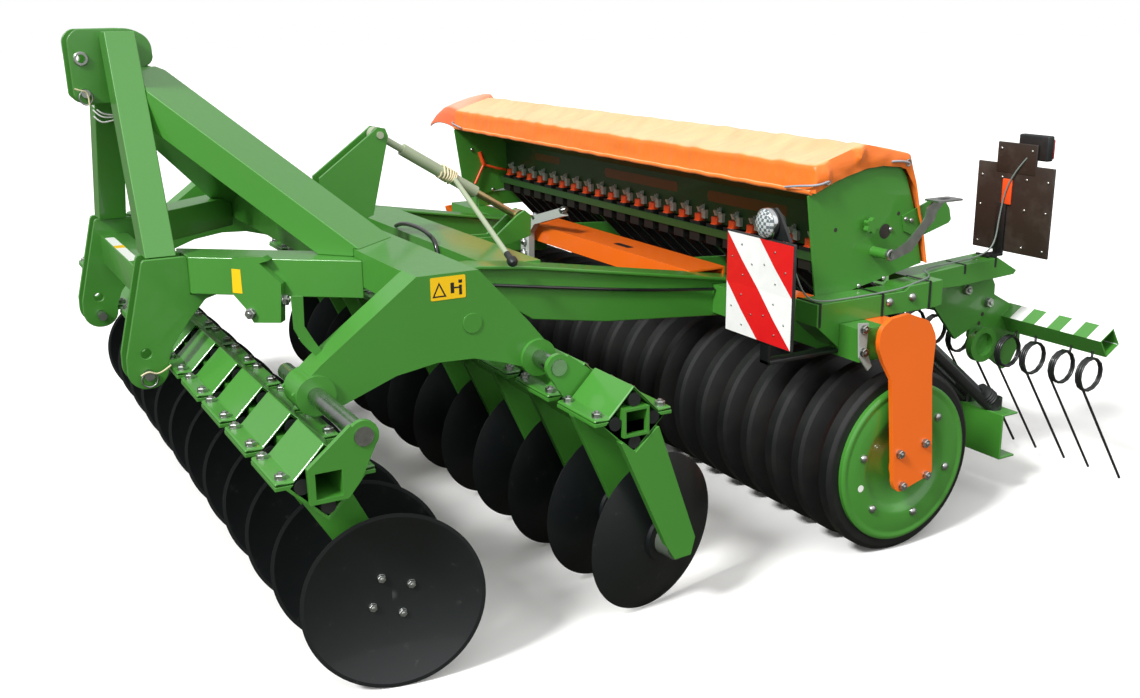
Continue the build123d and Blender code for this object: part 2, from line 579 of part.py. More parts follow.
def build_drill():
    """Box drill: end plates, hopper, cover, metering row, seed tubes, coulter beam and side beams."""
    end = [(369, 763), (322, 1095), (340, 1108), (460, 1146), (571, 1165), (650, 1170), (689, 1159),
           (715, 1128), (753, 1032), (801, 844)]
    ends = both_sides(plate(end, HOPPER_X - END_T, HOPPER_X))
    ends[0] += rod_x(*CRANK, CRANK_D, HOPPER_X, HOPPER_X + CRANK_REACH)
    save("hopper_ends", ends)
    inner = HOPPER_X - END_T
    front = plate([(345, 1108), (540, 1089), (603, 1024), (603, 880), (594, 880), (594, 1020), (537, 1081),
                   (345, 1100)], -inner, inner)
    rear = plate([(744, 1032), (738, 1032), (640, 880), (594, 880), (594, 874), (644, 874)], -inner, inner)
    back = plate([(706, 1128), (700, 1128), (738, 1032), (744, 1032)], -inner, inner)
    rail = block(-inner, inner, 640, 652, 800, 874)
    save("hopper", front + rear + back + rail)

    cover = [(326, 1112), (334, 1188), (350, 1194), (521, 1242), (700, 1206), (722, 1190), (764, 1032),
             (812, 848), (806, 846), (758, 1030), (716, 1186), (698, 1200), (521, 1236), (352, 1188),
             (340, 1184), (332, 1112)]
    sheet = plate(cover, -HOPPER_X - 10, HOPPER_X + 10)
    cap = plate([(332, 1112), (340, 1184), (352, 1188), (521, 1236), (698, 1200), (716, 1186), (722, 1130),
                 (700, 1160), (571, 1166), (460, 1147), (345, 1109)], HOPPER_X + SEAT, HOPPER_X + 10)
    save("hopper_cover", sheet + cap + mirror(cap, Plane.YZ))

    units, tubes = [], []
    top = COULTER_Z + COULTER_H
    for number in range(UNITS):
        x = (number - (UNITS - 1) / 2) * UNIT_PITCH
        units.append(block(x - 32, x + 32, 560, 640, 800, 874))
        foot = (x * TUBE_SPREAD, COULTER_Y + 30, top)
        tube = rod((x, 600, 810), foot, TUBE_D) - block(x - 60, x + 60, 500, 700, 800, 900)
        tube -= block(foot[0] - 60, foot[0] + 60, foot[1] - 90, foot[1] + 90, foot[2] - 90, foot[2])
        boot = Pos(foot[0], foot[1], foot[2] + 20) * Cylinder(TUBE_D / 2 + 8, 40)
        tubes.append(tube + boot)
    save("metering_row", units)
    save("seed_tubes", tubes)
    section = [(COULTER_Y, COULTER_Z), (COULTER_Y + COULTER_W, COULTER_Z), (COULTER_Y + COULTER_W, COULTER_Z + 8),
               (COULTER_Y + 8, COULTER_Z + 8), (COULTER_Y + 8, top - 8), (COULTER_Y + COULTER_W, top - 8),
               (COULTER_Y + COULTER_W, top), (COULTER_Y, top)]
    beam = plate(section, -COULTER_X, COULTER_X)
    start_y, low, high = ORANGE_INNER[1], ORANGE_INNER[2], ORANGE_INNER[3]
    hanger = plate([(start_y, low + 5), (start_y, high - 5), (760, 740), (COULTER_Y + COULTER_W, 430),
                    (COULTER_Y + COULTER_W, top), (COULTER_Y, top), (900, 560), (800, 655)],
                   HANGER_X, HANGER_X + CARRIER_T)
    for piece in both_sides(hanger):
        beam += piece
    save("coulter_beam", beam)

    top = SIDE_BEAM_TOP
    low = top - SIDE_BEAM_H
    shared = [(640, top), (660, top + 14), (SIDE_BEAM_END, top + 18), (SIDE_BEAM_END, low + 4), (770, low)]
    near = plate([(290, low), (290, top)] + shared + [(380, low), (380, low - 76)],
                 SIDE_BEAM_X, SIDE_BEAM_X + SIDE_BEAM_T)
    far = plate([(FAR_BEAM_START, low), (FAR_BEAM_START, top)] + shared, SIDE_BEAM_X, SIDE_BEAM_X + SIDE_BEAM_T)
    inner = plate([(760, top - 40), (760, top + 12), (1157, 823), (1252, 770), (1240, 757), (985, 745)],
                  CARRIER_X + CARRIER_T, SIDE_BEAM_X)
    save("drill_side_beams", [near + inner, mirror(far + inner, Plane.YZ)])


def board(centre_x, y, low, width, height):
    """Upright board facing along the machine."""
    return block(centre_x - width / 2, centre_x + width / 2, y - BOARD_T / 2, y + BOARD_T / 2, low, low + height)


def build_boards():
    """Striped front board, dark rear board, and the lamps on their brackets."""
    rear_x, rear_y, rear_low, width, height = REAR_BOARD
    rear = board(*REAR_BOARD) + board(rear_x, rear_y, rear_low + height, width * 0.6,
                                      REAR_BOARD_TOP - rear_low - height)
    save("warning_boards", [board(*FRONT_BOARD), rear])
    x, y, z = FRONT_LAMP
    back = FRONT_BOARD[1] + BOARD_T / 2
    seat = CROSS_BEAM[0] - CROSS_BEAM_SIZE / 2
    front = block(x - 20, x + 20, back, back + 8, 632, z) + block(x - 20, x + 20, back, seat, 632, 644)
    head = Pos(x, y, z) * Rot(90, 0, 0) * Cylinder(FRONT_LAMP_D / 2, 30)
    x, y, z = REAR_LAMP
    back = rear_y - BOARD_T / 2
    foot = SIDE_BEAM_TOP + 33
    stay = block(rear_x - 60, rear_x - 20, back - 8, back, foot, 1000)
    stay += block(rear_x - 60, rear_x - 20, 1125, back, foot, foot + 10)
    housing = block(x - 60, x + 60, rear_y + BOARD_T / 2, y + 22, z - 26, z + 26)
    save("lamps", [front + head, stay, housing])


def build_carriers():
    """Plates that hang from the side beams' rear ends and carry the harrow's pivots."""
    py, pz = HARROW_PIVOT
    outline = [(880, 750), (880, 795), (1157, 815), (1215, 785), (py + 32, pz + 60), (py + 34, pz - 16),
               (py, pz - 40), (1180, 562), (1090, 526), (978, 656)]
    carrier = plate(outline, CARRIER_X, CARRIER_X + CARRIER_T)
    carrier += rod_x(py, pz, HARROW_PIN_D, QUADRANT_X - 6, CARRIER_X)
    save("harrow_carriers", both_sides(carrier))


def build_harrow():
    """Following harrow: square beam, quadrant arms and sprung tines."""
    y, z = HARROW_BEAM
    reach = TINE_PITCH * (TINES - 1) / 2 + 20
    beam = square_tube(y, z, HARROW_BEAM_SIZE, 5, -reach, reach, HARROW_TURN)
    py, pz = HARROW_PIVOT
    quadrant = [(1180, 520), (1195, 610), (1222, 672), (1265, 672), (1395, 604), (1440, 560), (1446, 458),
                (1400, 380), (1369, 371), (1300, 420), (1215, 480)]
    arm = plate(quadrant, QUADRANT_X, QUADRANT_X + QUADRANT_T)
    arm -= square_bar(y, z, HARROW_BEAM_SIZE - 2, 0, 2000, HARROW_TURN)
    arm -= rod_x(py, pz, HARROW_PIN_D + PIN_PLAY, 0, 2000)
    arms = both_sides(arm)
    save("harrow_beam", beam + arms[0] + arms[1])
    cy, cz = COIL
    ty, tz = TINE_TIP
    coil = Pos(0, cy, cz) * Rot(0, 90, 0) * Torus(COIL_D / 2 - WIRE_D / 2, WIRE_D / 2)
    leg = rod((0, cy - 30, cz - 48), (0, ty, tz), WIRE_D)
    clip = rod((0, cy + 2, cz + 50), (0, y - 20, z - 20), WIRE_D)
    tine = (coil + leg + clip) - square_bar(y, z, HARROW_BEAM_SIZE, -50, 50, HARROW_TURN)
    tines = []
    for number in range(TINES):
        x = (number - (TINES - 1) / 2) * TINE_PITCH
        tines.append(Pos(x, 0, 0) * tine)
    save("harrow_tines", tines)


build_discs()
build_hubs()
build_gangs()
build_headstock()
link_pin = build_frame()
long_arms = build_rear_frame()
build_turnbuckle(link_pin)
build_roller(long_arms)
build_drill()
build_boards()
build_carriers()
build_harrow()
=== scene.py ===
"""Looks of the mounted seed drill: paint, rubber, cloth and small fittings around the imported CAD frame.

Metres, +Z up. The hitch faces -Y and +X is the machine's left side.
"""
import json
import math

import bmesh
import bpy
from mathutils import Matrix, Vector, noise

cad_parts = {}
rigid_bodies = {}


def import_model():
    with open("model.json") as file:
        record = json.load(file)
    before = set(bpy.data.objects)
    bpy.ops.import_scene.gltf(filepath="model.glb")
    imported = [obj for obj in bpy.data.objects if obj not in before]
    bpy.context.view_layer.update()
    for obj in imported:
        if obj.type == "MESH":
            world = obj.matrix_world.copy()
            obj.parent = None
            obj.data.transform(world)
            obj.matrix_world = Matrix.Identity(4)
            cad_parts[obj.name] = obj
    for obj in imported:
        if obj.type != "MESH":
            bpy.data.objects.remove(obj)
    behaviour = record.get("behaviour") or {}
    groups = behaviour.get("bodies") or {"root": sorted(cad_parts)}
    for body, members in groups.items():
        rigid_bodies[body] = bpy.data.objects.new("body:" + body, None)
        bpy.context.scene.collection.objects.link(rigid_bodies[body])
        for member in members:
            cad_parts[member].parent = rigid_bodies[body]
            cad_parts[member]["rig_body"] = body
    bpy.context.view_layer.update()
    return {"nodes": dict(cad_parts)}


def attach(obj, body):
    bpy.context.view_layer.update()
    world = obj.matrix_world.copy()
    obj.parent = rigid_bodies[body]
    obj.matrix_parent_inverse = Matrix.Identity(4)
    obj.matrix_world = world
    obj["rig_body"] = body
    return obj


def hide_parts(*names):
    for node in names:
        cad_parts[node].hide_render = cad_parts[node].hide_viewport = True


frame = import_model()
SIDES = {"left": 1, "right": -1}


# Studio
# A pale floor under soft light, with the camera where the photographer stood: beside the hitch on the
# machine's left, a little above it. The lens shift is only what the photograph's framing needs.
CAMERA_PLACE = (4.010, -2.017, 1.6235)
CAMERA_YAW = 60.36
CAMERA_PITCH = 15.41
CAMERA_ROLL = -0.52
PHOTO_WIDTH = 1140
FOCAL_PIXELS = 1198.1
SENSOR_MM = 36
SHIFT_PIXELS = (-8.5, -5.2)
VIEW_REACH = 200
FLOOR_SIZE = 120
FLOOR_DROP = 0.002
FLOOR_COLOUR = "#F4F4F2"
GROUND_COLOUR = "#4A4B40"
SKY_LEVELS = {"ground": 0.10, "horizon": 0.34, "zenith": 0.85}
SKY_HEIGHTS = (-0.15, 0.10, 0.85)
SUNS = {"key_sun": (3.5, 10, 18, 42), "fill_sun": (1.7, 115, 84, 22)}


def colour(hex_code):
    """Linear colour of an sRGB hex code."""
    parts = [int(hex_code[i:i + 2], 16) / 255 for i in (1, 3, 5)]
    return [c / 12.92 if c <= 0.04045 else ((c + 0.055) / 1.055) ** 2.4 for c in parts] + [1.0]


def fill(tree, made, inputs):
    """Links sockets to a node's inputs and sets the plain values."""
    for key, value in inputs.items():
        if isinstance(value, bpy.types.NodeSocket):
            tree.links.new(value, made.inputs[key])
        else:
            made.inputs[key].default_value = value


def node(tree, kind, inputs=None, **settings):
    """Adds one node, sets its properties and fills its inputs."""
    made = tree.nodes.new(kind)
    for key, value in settings.items():
        setattr(made, key, value)
    fill(tree, made, inputs or {})
    return made


def calc(tree, operation, *values):
    """Result of a sum on values or sockets."""
    return node(tree, "ShaderNodeMath", dict(enumerate(values)), operation=operation).outputs[0]


def ramp(tree, value, low, high, start=0.0, end=1.0):
    """The value carried from start and end to low and high, and held there."""
    return node(tree, "ShaderNodeMapRange", {"Value": value, "From Min": start, "From Max": end,
                                             "To Min": low, "To Max": high}).outputs[0]


def blend(tree, share, first, second):
    """Mix of two colours."""
    return node(tree, "ShaderNodeMixRGB", {"Fac": share, "Color1": first, "Color2": second}).outputs[0]


def new_material(name):
    """A fresh material with its tree, its surface shader and its coordinates."""
    made = bpy.data.materials.new(name)
    made.use_nodes = True
    tree = made.node_tree
    return made, tree, tree.nodes["Principled BSDF"], node(tree, "ShaderNodeTexCoord")


def in_scene(name, data):
    """New object in the scene."""
    made = bpy.data.objects.new(name, data)
    bpy.context.scene.collection.objects.link(made)
    return made


def aim(yaw, pitch, roll):
    """Rotation of a camera that looks along +Y at yaw 0 and towards -X at yaw 90, tilted down by pitch."""
    yaw, pitch, roll = (math.radians(a) for a in (yaw, pitch, roll))
    ahead = Vector((-math.sin(yaw) * math.cos(pitch), math.cos(yaw) * math.cos(pitch), -math.sin(pitch)))
    level = Vector((math.cos(yaw), math.sin(yaw), 0))
    upright = level.cross(ahead)
    right = level * math.cos(roll) + upright * math.sin(roll)
    up = upright * math.cos(roll) - level * math.sin(roll)
    return Matrix((right, up, -ahead)).transposed().to_4x4()


camera = in_scene("camera", bpy.data.cameras.new("camera"))
camera.matrix_world = Matrix.Translation(CAMERA_PLACE) @ aim(CAMERA_YAW, CAMERA_PITCH, CAMERA_ROLL)
camera.data.sensor_width = SENSOR_MM
camera.data.lens = FOCAL_PIXELS / PHOTO_WIDTH * SENSOR_MM
camera.data.shift_x = SHIFT_PIXELS[0] / PHOTO_WIDTH
camera.data.shift_y = SHIFT_PIXELS[1] / PHOTO_WIDTH
camera.data.clip_end = VIEW_REACH
bpy.context.scene.camera = camera
bpy.context.scene.view_settings.view_transform = "Standard"

world = bpy.data.worlds.new("pale_sky")
world.use_nodes = True
tree = world.node_tree
tree.nodes.clear()
seen = node(tree, "ShaderNodeLightPath").outputs["Is Camera Ray"]
way = node(tree, "ShaderNodeTexCoord").outputs["Generated"]
height = node(tree, "ShaderNodeSeparateXYZ", {"Vector": way}).outputs["Z"]
low_part = ramp(tree, height, SKY_LEVELS["ground"], SKY_LEVELS["horizon"], *SKY_HEIGHTS[:2])
high_part = ramp(tree, height, 0.0, SKY_LEVELS["zenith"] - SKY_LEVELS["horizon"], *SKY_HEIGHTS[1:])
level = calc(tree, "MAXIMUM", calc(tree, "ADD", low_part, high_part), seen)
sky = node(tree, "ShaderNodeBackground", {"Color": (1, 1, 1, 1), "Strength": level})
node(tree, "ShaderNodeOutputWorld", {"Surface": sky.outputs[0]})
bpy.context.scene.world = world

for name, (energy, angle, yaw, pitch) in SUNS.items():
    lamp = in_scene(name, bpy.data.lights.new(name, "SUN"))
    lamp.data.energy = energy
    lamp.data.angle = math.radians(angle)
    lamp.matrix_world = aim(yaw, pitch, 0)

half = FLOOR_SIZE / 2
floor_mesh = bpy.data.meshes.new("floor")
floor_mesh.from_pydata([(x * half, y * half, -FLOOR_DROP) for x, y in ((-1, -1), (1, -1), (1, 1), (-1, 1))],
                       [], [(0, 1, 2, 3)])
floor = in_scene("floor", floor_mesh)
floor_paint, tree, skin, _ = new_material("pale_floor")
seen = node(tree, "ShaderNodeLightPath").outputs["Is Camera Ray"]
fill(tree, skin, {"Base Color": blend(tree, seen, colour(GROUND_COLOUR), colour(FLOOR_COLOUR)),
                  "Roughness": 0.9})
floor.data.materials.append(floor_paint)


# Headstock
# Posts, top plates, hitch plates and their pins. Painted plate has ground edges, so the CAD nodes come
# back with small rounds, and the pins carry washers, hex heads and spring clips.
GREEN = "#41862E"
GREEN_GLOSS = 0.34
ZINC = "#B4B7B4"
ZINC_YELLOW = "#C9BE8E"
DUST_ON_PAINT = "#8C8A78"
DUST_ON_RUBBER = "#7A766C"
EDGE_ROUND = 0.0035
FINE_ROUND = 0.0025
EDGE_SPLIT = 35
PLATE_THICKEST = 0.030
PLATE_EDGE = 0.002
CORNER_STEPS = 8
CLIP_WIRE = 0.003
BOW_WIRE = 0.0026
PIN_Y, PIN_LOW, TOP_PIN_Z = -1.451, 0.619, 1.404
TOP_PIN_Y, TOP_HOLE_Z = -1.481, 1.506
TOP_PLATE = [(-1.489, 1.592, 0.035), (-1.331, 1.5935, 0.10), (-1.276, 1.562, 0.055), (-1.271, 1.492, 0.030),
             (-1.371, 1.440, 0.0), (-1.386, 1.374, 0.012), (-1.485, 1.368, 0.030), (-1.511, 1.394, 0.020),
             (-1.5145, 1.566, 0.035)]
HITCH_PLATE = [(-1.437, 0.955, 0.012), (-1.311, 0.955, 0.012), (-1.311, 0.841, 0.0), (-1.201, 0.841, 0.0),
               (-1.2685, 0.823, 0.020), (-1.320, 0.765, 0.040), (-1.376, 0.690, 0.040),
               (-1.3925, 0.640, 0.020), (-1.391, 0.574, 0.055), (-1.509, 0.574, 0.055),
               (-1.507, 0.671, 0.030)]


def clouds(tree, place, scale, detail=2.0, rough=0.5):
    """Noise in the piece's own coordinates."""
    return node(tree, "ShaderNodeTexNoise", {"Vector": place.outputs["Object"], "Scale": scale,
                                             "Detail": detail, "Roughness": rough}).outputs[0]


def shaded(tree, value, flat):
    """A colour made lighter or darker by a value."""
    return node(tree, "ShaderNodeHueSaturation", {"Value": value, "Color": flat}).outputs[0]


def bumps(tree, height, strength, distance, **below):
    """Surface normal with a relief, over another one where Normal is given."""
    return node(tree, "ShaderNodeBump", {"Height": height, "Strength": strength, "Distance": distance,
                                         **below}).outputs[0]


def enamel(name, hex_code, gloss, coat=0.6, mottle=0.06, peel_mm=3.0):
    """Sprayed enamel: slow shade drift and fine dust in the colour, an orange-peel ripple, a clear skin."""
    made, tree, skin, place = new_material(name)
    shade = ramp(tree, clouds(tree, place, 2.5, 5.0), 1 - mottle, 1 + mottle)
    grime = clouds(tree, place, 28.0, 8.0, 0.7)
    dusty = blend(tree, ramp(tree, grime, 0.0, 0.18, 0.62, 0.80), shaded(tree, shade, colour(hex_code)),
                  colour(DUST_ON_PAINT))
    wave = bumps(tree, clouds(tree, place, 14.0), 0.10, 0.003)
    peel = bumps(tree, clouds(tree, place, 1000 / peel_mm), 0.05, 0.0005, Normal=wave)
    fill(tree, skin, {"Base Color": dusty, "Roughness": ramp(tree, grime, gloss - 0.06, gloss + 0.10),
                      "Normal": peel, "Coat Weight": coat, "Coat Roughness": 0.10})
    return made


def plated(name, hex_code, rough=0.30, grain_mm=0.8):
    """Zinc-plated or ground steel: metal with cloudy passivation and fine rolling scratches."""
    made, tree, skin, place = new_material(name)
    cloud = clouds(tree, place, 45.0, 6.0)
    hue = shaded(tree, ramp(tree, cloud, 0.78, 1.10), colour(hex_code))
    grain = bumps(tree, clouds(tree, place, 1000 / grain_mm), 0.08, 0.0003)
    fill(tree, skin, {"Base Color": hue, "Roughness": ramp(tree, cloud, rough - 0.08, rough + 0.14),
                      "Normal": grain, "Metallic": 1.0})
    return made


def matt(name, hex_code, rough, grain_mm, height, lift=0.04, coat=0.0):
    """Moulded rubber or plastic: a matt grained skin whose colour greys where dust settles."""
    made, tree, skin, place = new_material(name)
    dust = ramp(tree, clouds(tree, place, 9.0, 7.0, 0.65), 0.0, lift * 4, 0.45, 0.85)
    grain = bumps(tree, clouds(tree, place, 1000 / grain_mm, 3.0), 0.25, height)
    fill(tree, skin, {"Base Color": blend(tree, dust, colour(hex_code), colour(DUST_ON_RUBBER)),
                      "Normal": grain, "Roughness": rough, "Coat Weight": coat})
    return made


def dress(name, material):
    """Gives a CAD node its finish."""
    mesh = frame["nodes"][name].data
    mesh.materials.clear()
    mesh.materials.append(material)


def settle(piece, body, replaces=None):
    """Ties a finished piece to its body and the node it stands for."""
    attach(piece, body)
    if replaces:
        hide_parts(replaces)
    return piece


def evaluated_mesh(piece):
    """New mesh of a piece as its modifiers or its curve make it."""
    bpy.context.view_layer.update()
    return bpy.data.meshes.new_from_object(piece.evaluated_get(bpy.context.evaluated_depsgraph_get()))


def apply_modifiers(piece):
    """Keeps the evaluated mesh of a piece and drops its modifiers."""
    finished = evaluated_mesh(piece)
    piece.modifiers.clear()
    piece.data = finished


def flatten_faces(piece):
    """Keeps large faces flat beside rounded edges, and applies all modifiers."""
    weigh = piece.modifiers.new("flat_faces", "WEIGHTED_NORMAL")
    weigh.keep_sharp = True
    weigh.weight = 100
    apply_modifiers(piece)


def soften(name, material, radius=EDGE_ROUND, corner=0.0, beyond=0.0):
    """The CAD node again with rounded edges, and its plate corners out past a distance rounded more."""
    mesh = frame["nodes"][name].data.copy()
    work = bmesh.new()
    work.from_mesh(mesh)
    bmesh.ops.remove_doubles(work, verts=work.verts, dist=0.00002)
    bmesh.ops.dissolve_limit(work, angle_limit=math.radians(1.5), verts=work.verts, edges=work.edges)
    if corner:
        across = [e for e in work.edges
                  if len(e.link_faces) == 2 and e.is_convex and e.calc_face_angle() > math.radians(30)
                  and abs(e.verts[0].co.x - e.verts[1].co.x) > 0.995 * e.calc_length()
                  and e.calc_length() < PLATE_THICKEST and abs(e.verts[0].co.x) > beyond]
        bmesh.ops.bevel(work, geom=across, offset=corner, segments=6, profile=0.5, affect="EDGES",
                        clamp_overlap=True)
    work.to_mesh(mesh)
    work.free()
    mesh.materials.clear()
    mesh.materials.append(material)
    made = in_scene(name + "_finished", mesh)
    bevel = made.modifiers.new("rounded_edges", "BEVEL")
    bevel.width = radius
    bevel.segments = 2
    bevel.limit_method = "ANGLE"
    bevel.angle_limit = math.radians(EDGE_SPLIT)
    bevel.use_clamp_overlap = True
    bevel.harden_normals = False
    mesh.shade_smooth()
    flatten_faces(made)
    return settle(made, frame["nodes"][name]["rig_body"], name)


def shaded_object(name, work, material, sharp=40):
    """Turns a bmesh into an object, smooth but for its sharp edges. The model_ ones are only instanced."""
    mesh = bpy.data.meshes.new(name)
    bmesh.ops.recalc_face_normals(work, faces=work.faces)
    work.to_mesh(mesh)
    work.free()
    mesh.materials.append(material)
    mesh.shade_smooth()
    mesh.set_sharp_from_angle(angle=math.radians(sharp))
    return in_scene(name, mesh)


def new_piece(name, work, material, body, replaces=None, sharp=40):
    """Turns a bmesh into a shaded piece on a body."""
    return settle(shaded_object(name, work, material, sharp), body, replaces)


def turned(profile, segments=32):
    """Turned solid about +Z from (radius, height) pairs, closed where the radius is 0."""
    work = bmesh.new()
    rows = []
    for radius, height in profile:
        if radius < 1e-6:
            rows.append([work.verts.new((0, 0, height))] * segments)
            continue
        rows.append([work.verts.new((*spot, height)) for spot in circle(0, 0, radius, segments)])
    for low, high in zip(rows, rows[1:]):
        for k in range(segments):
            ring = [low[k], low[(k + 1) % segments], high[(k + 1) % segments], high[k]]
            ring = list(dict.fromkeys(ring))
            if len(ring) > 2:
                work.faces.new(ring)
    return work


def circle(a, b, radius, count, tall=None):
    """Points round a centre, or round an ellipse where its second radius is given."""
    turns = [2 * math.pi * k / count for k in range(count)]
    return [(a + radius * math.cos(t), b + (tall or radius) * math.sin(t)) for t in turns]


def moved(work, matrix):
    """The bmesh, moved."""
    bmesh.ops.transform(work, matrix=matrix, verts=work.verts)
    return work


def turned_to(place, side=1, axis="Y"):
    """Matrix that stands a turned solid at a place, its +Z turned by a quarter about an axis."""
    return Matrix.Translation(place) @ Matrix.Rotation(side * math.pi / 2, 4, axis)


def joined(work, *others):
    """The bmesh with others added to it."""
    for other in others:
        mesh = bpy.data.meshes.new("joined")
        other.to_mesh(mesh)
        other.free()
        work.from_mesh(mesh)
        bpy.data.meshes.remove(mesh)
    return work


def scatter_tree():
    """Node group that sets a fitting on every point, its +Z along the point's outward vector."""
    tree = bpy.data.node_groups.new("set_fittings", "GeometryNodeTree")
    for label, kind in (("Seats", "NodeSocketGeometry"), ("Fitting", "NodeSocketObject"),
                        ("Finish", "NodeSocketMaterial"), ("Size", "NodeSocketFloat")):
        tree.interface.new_socket(label, in_out="INPUT", socket_type=kind)
    tree.interface.new_socket("Fittings", in_out="OUTPUT", socket_type="NodeSocketGeometry")
    given = node(tree, "NodeGroupInput").outputs
    outward = node(tree, "GeometryNodeInputNamedAttribute", {"Name": "outward"}, data_type="FLOAT_VECTOR")
    turn = node(tree, "FunctionNodeAlignRotationToVector", {"Vector": outward.outputs["Attribute"]}, axis="Z")
    model = node(tree, "GeometryNodeObjectInfo", {"Object": given["Fitting"]})
    placed = node(tree, "GeometryNodeInstanceOnPoints",
                  {"Points": given["Seats"], "Instance": model.outputs["Geometry"],
                   "Rotation": turn.outputs[0], "Scale": given["Size"]})
    solid = node(tree, "GeometryNodeRealizeInstances", {"Geometry": placed.outputs[0]})
    painted = node(tree, "GeometryNodeSetMaterial",
                   {"Geometry": solid.outputs[0], "Material": given["Finish"]})
    node(tree, "NodeGroupOutput", {0: painted.outputs[0]})
    return tree


def scatter(name, model, seats, body, size=1.0):
    """Sets a copy of a fitting on each seat, a place with the direction it faces."""
    mesh = bpy.data.meshes.new(name)
    mesh.from_pydata([place for place, _ in seats], [], [])
    outward = mesh.attributes.new("outward", "FLOAT_VECTOR", "POINT")
    for k, (_, way) in enumerate(seats):
        outward.data[k].vector = way
    made = in_scene(name, mesh)
    modifier = made.modifiers.new("fittings", "NODES")
    modifier.node_group = SET_FITTINGS
    values = {"Fitting": model, "Finish": model.data.materials[0], "Size": size}
    for socket in SET_FITTINGS.interface.items_tree:
        if socket.in_out == "INPUT" and socket.name in values:
            modifier[socket.identifier] = values[socket.name]
    apply_modifiers(made)
    return settle(made, body)


def sideways(*places):
    """Seats at these places, each facing away from the machine's middle."""
    return [(place, (math.copysign(1, place[0]), 0, 0)) for place in places]


def mirrored(seats):
    """The seats with their mirror images on the machine's right side."""
    return seats + [((-p[0], p[1], p[2]), (-w[0], w[1], w[2])) for p, w in seats]


def hex_head(across, height):
    """Hex head or nut on its washer, chamfered on top, with the bolt's end showing."""
    washer = across * 1.15 / 2
    corner = across / 2 / math.cos(math.radians(30))
    head = turned([(corner, 0.0022), (corner, height * 0.86), (corner * 0.88, height),
                   (across * 0.26, height), (across * 0.25, height + across * 0.16),
                   (across * 0.20, height + across * 0.20), (0, height + across * 0.20)], 6)
    return joined(turned([(0, 0), (washer, 0), (washer, 0.0022), (across * 0.55, 0.0024)], 20), head)


def wire(name, points, radius, material, body, cyclic=False):
    """Round bar or hose along a smooth line."""
    curve = bpy.data.curves.new(name, "CURVE")
    curve.dimensions = "3D"
    curve.bevel_depth = radius
    curve.bevel_resolution = 3
    curve.use_fill_caps = not cyclic
    line = curve.splines.new("NURBS")
    line.points.add(len(points) - 1)
    for point, place in zip(line.points, points):
        point.co = (*place, 1)
    line.order_u = 3
    line.use_endpoint_u = not cyclic
    line.use_cyclic_u = cyclic
    line.resolution_u = 6
    curve.materials.append(material)
    return settle(in_scene(name, curve), body)


def cable(name, points, diameter, material, body):
    """Cable, hose or elastic cord between two places on the machine."""
    made = wire(name, points, diameter / 2, material, body)
    bare = in_scene(name + "_line", made.data.copy())
    bare.data.bevel_depth = 0
    line = evaluated_mesh(bare)
    bpy.data.meshes.remove(line)
    bpy.data.objects.remove(bare)


def slab(work, low, high):
    """Adds a plain block to a bmesh, between two corners."""
    corners = [work.verts.new((x, y, z)) for z in (low[2], high[2]) for y in (low[1], high[1])
               for x in (low[0], high[0])]
    for face in ((0, 2, 3, 1), (4, 5, 7, 6), (0, 1, 5, 4), (2, 6, 7, 3), (0, 4, 6, 2), (1, 3, 7, 5)):
        work.faces.new([corners[k] for k in face])


def rounded(work, edges, radius, steps=3):
    """The bmesh with some edges rounded."""
    bmesh.ops.bevel(work, geom=edges, offset=radius, segments=steps, profile=0.5, affect="EDGES")
    return work


def rounded_slab(name, low, high, radius, material, body):
    """Block with rounded edges as a piece."""
    work = bmesh.new()
    slab(work, low, high)
    return new_piece(name, rounded(work, work.edges[:], radius), material, body)


def filleted(outline):
    """Points of an outline whose corners are rounded, from (y, z, radius) triples."""
    points = []
    for k, (y, z, radius) in enumerate(outline):
        corner = Vector((y, z))
        back = (Vector(outline[k - 1][:2]) - corner).normalized()
        ahead = (Vector(outline[(k + 1) % len(outline)][:2]) - corner).normalized()
        if not radius:
            points.append(corner)
            continue
        half_angle = back.angle(ahead) / 2
        middle = corner + (back + ahead).normalized() * radius / math.sin(half_angle)
        first = corner + back * radius / math.tan(half_angle) - middle
        last = corner + ahead * radius / math.tan(half_angle) - middle
        points += [middle + first.lerp(last, j / CORNER_STEPS).normalized() * radius
                   for j in range(CORNER_STEPS + 1)]
    return points


def holed_plate(name, outline, holes, x_low, x_high, replaces=None):
    """Green plate across X with rounded corners and edges, and round holes given as (y, z, radius)."""
    curve = bpy.data.curves.new(name, "CURVE")
    curve.dimensions = "2D"
    curve.fill_mode = "BOTH"
    curve.extrude = (x_high - x_low) / 2 - PLATE_EDGE
    curve.bevel_depth = PLATE_EDGE
    curve.bevel_resolution = 1
    curve.offset = -PLATE_EDGE
    for ring in [filleted(outline)] + [circle(*hole, 24) for hole in holes]:
        line = curve.splines.new("POLY")
        line.points.add(len(ring) - 1)
        for point, (y, z) in zip(line.points, ring):
            point.co = (y, z, 0, 1)
        line.use_cyclic_u = True
    drawn = in_scene(name, curve)
    mesh = evaluated_mesh(drawn)
    bpy.data.objects.remove(drawn)
    mesh.transform(Matrix(((0, 0, 1, (x_low + x_high) / 2), (1, 0, 0, 0), (0, 1, 0, 0), (0, 0, 0, 1))))
    work = bmesh.new()
    work.from_mesh(mesh)
    bpy.data.meshes.remove(mesh)
    bmesh.ops.remove_doubles(work, verts=work.verts, dist=0.00005)
    flatten_faces(new_piece(name, work, green, "chassis", replaces, sharp=60))


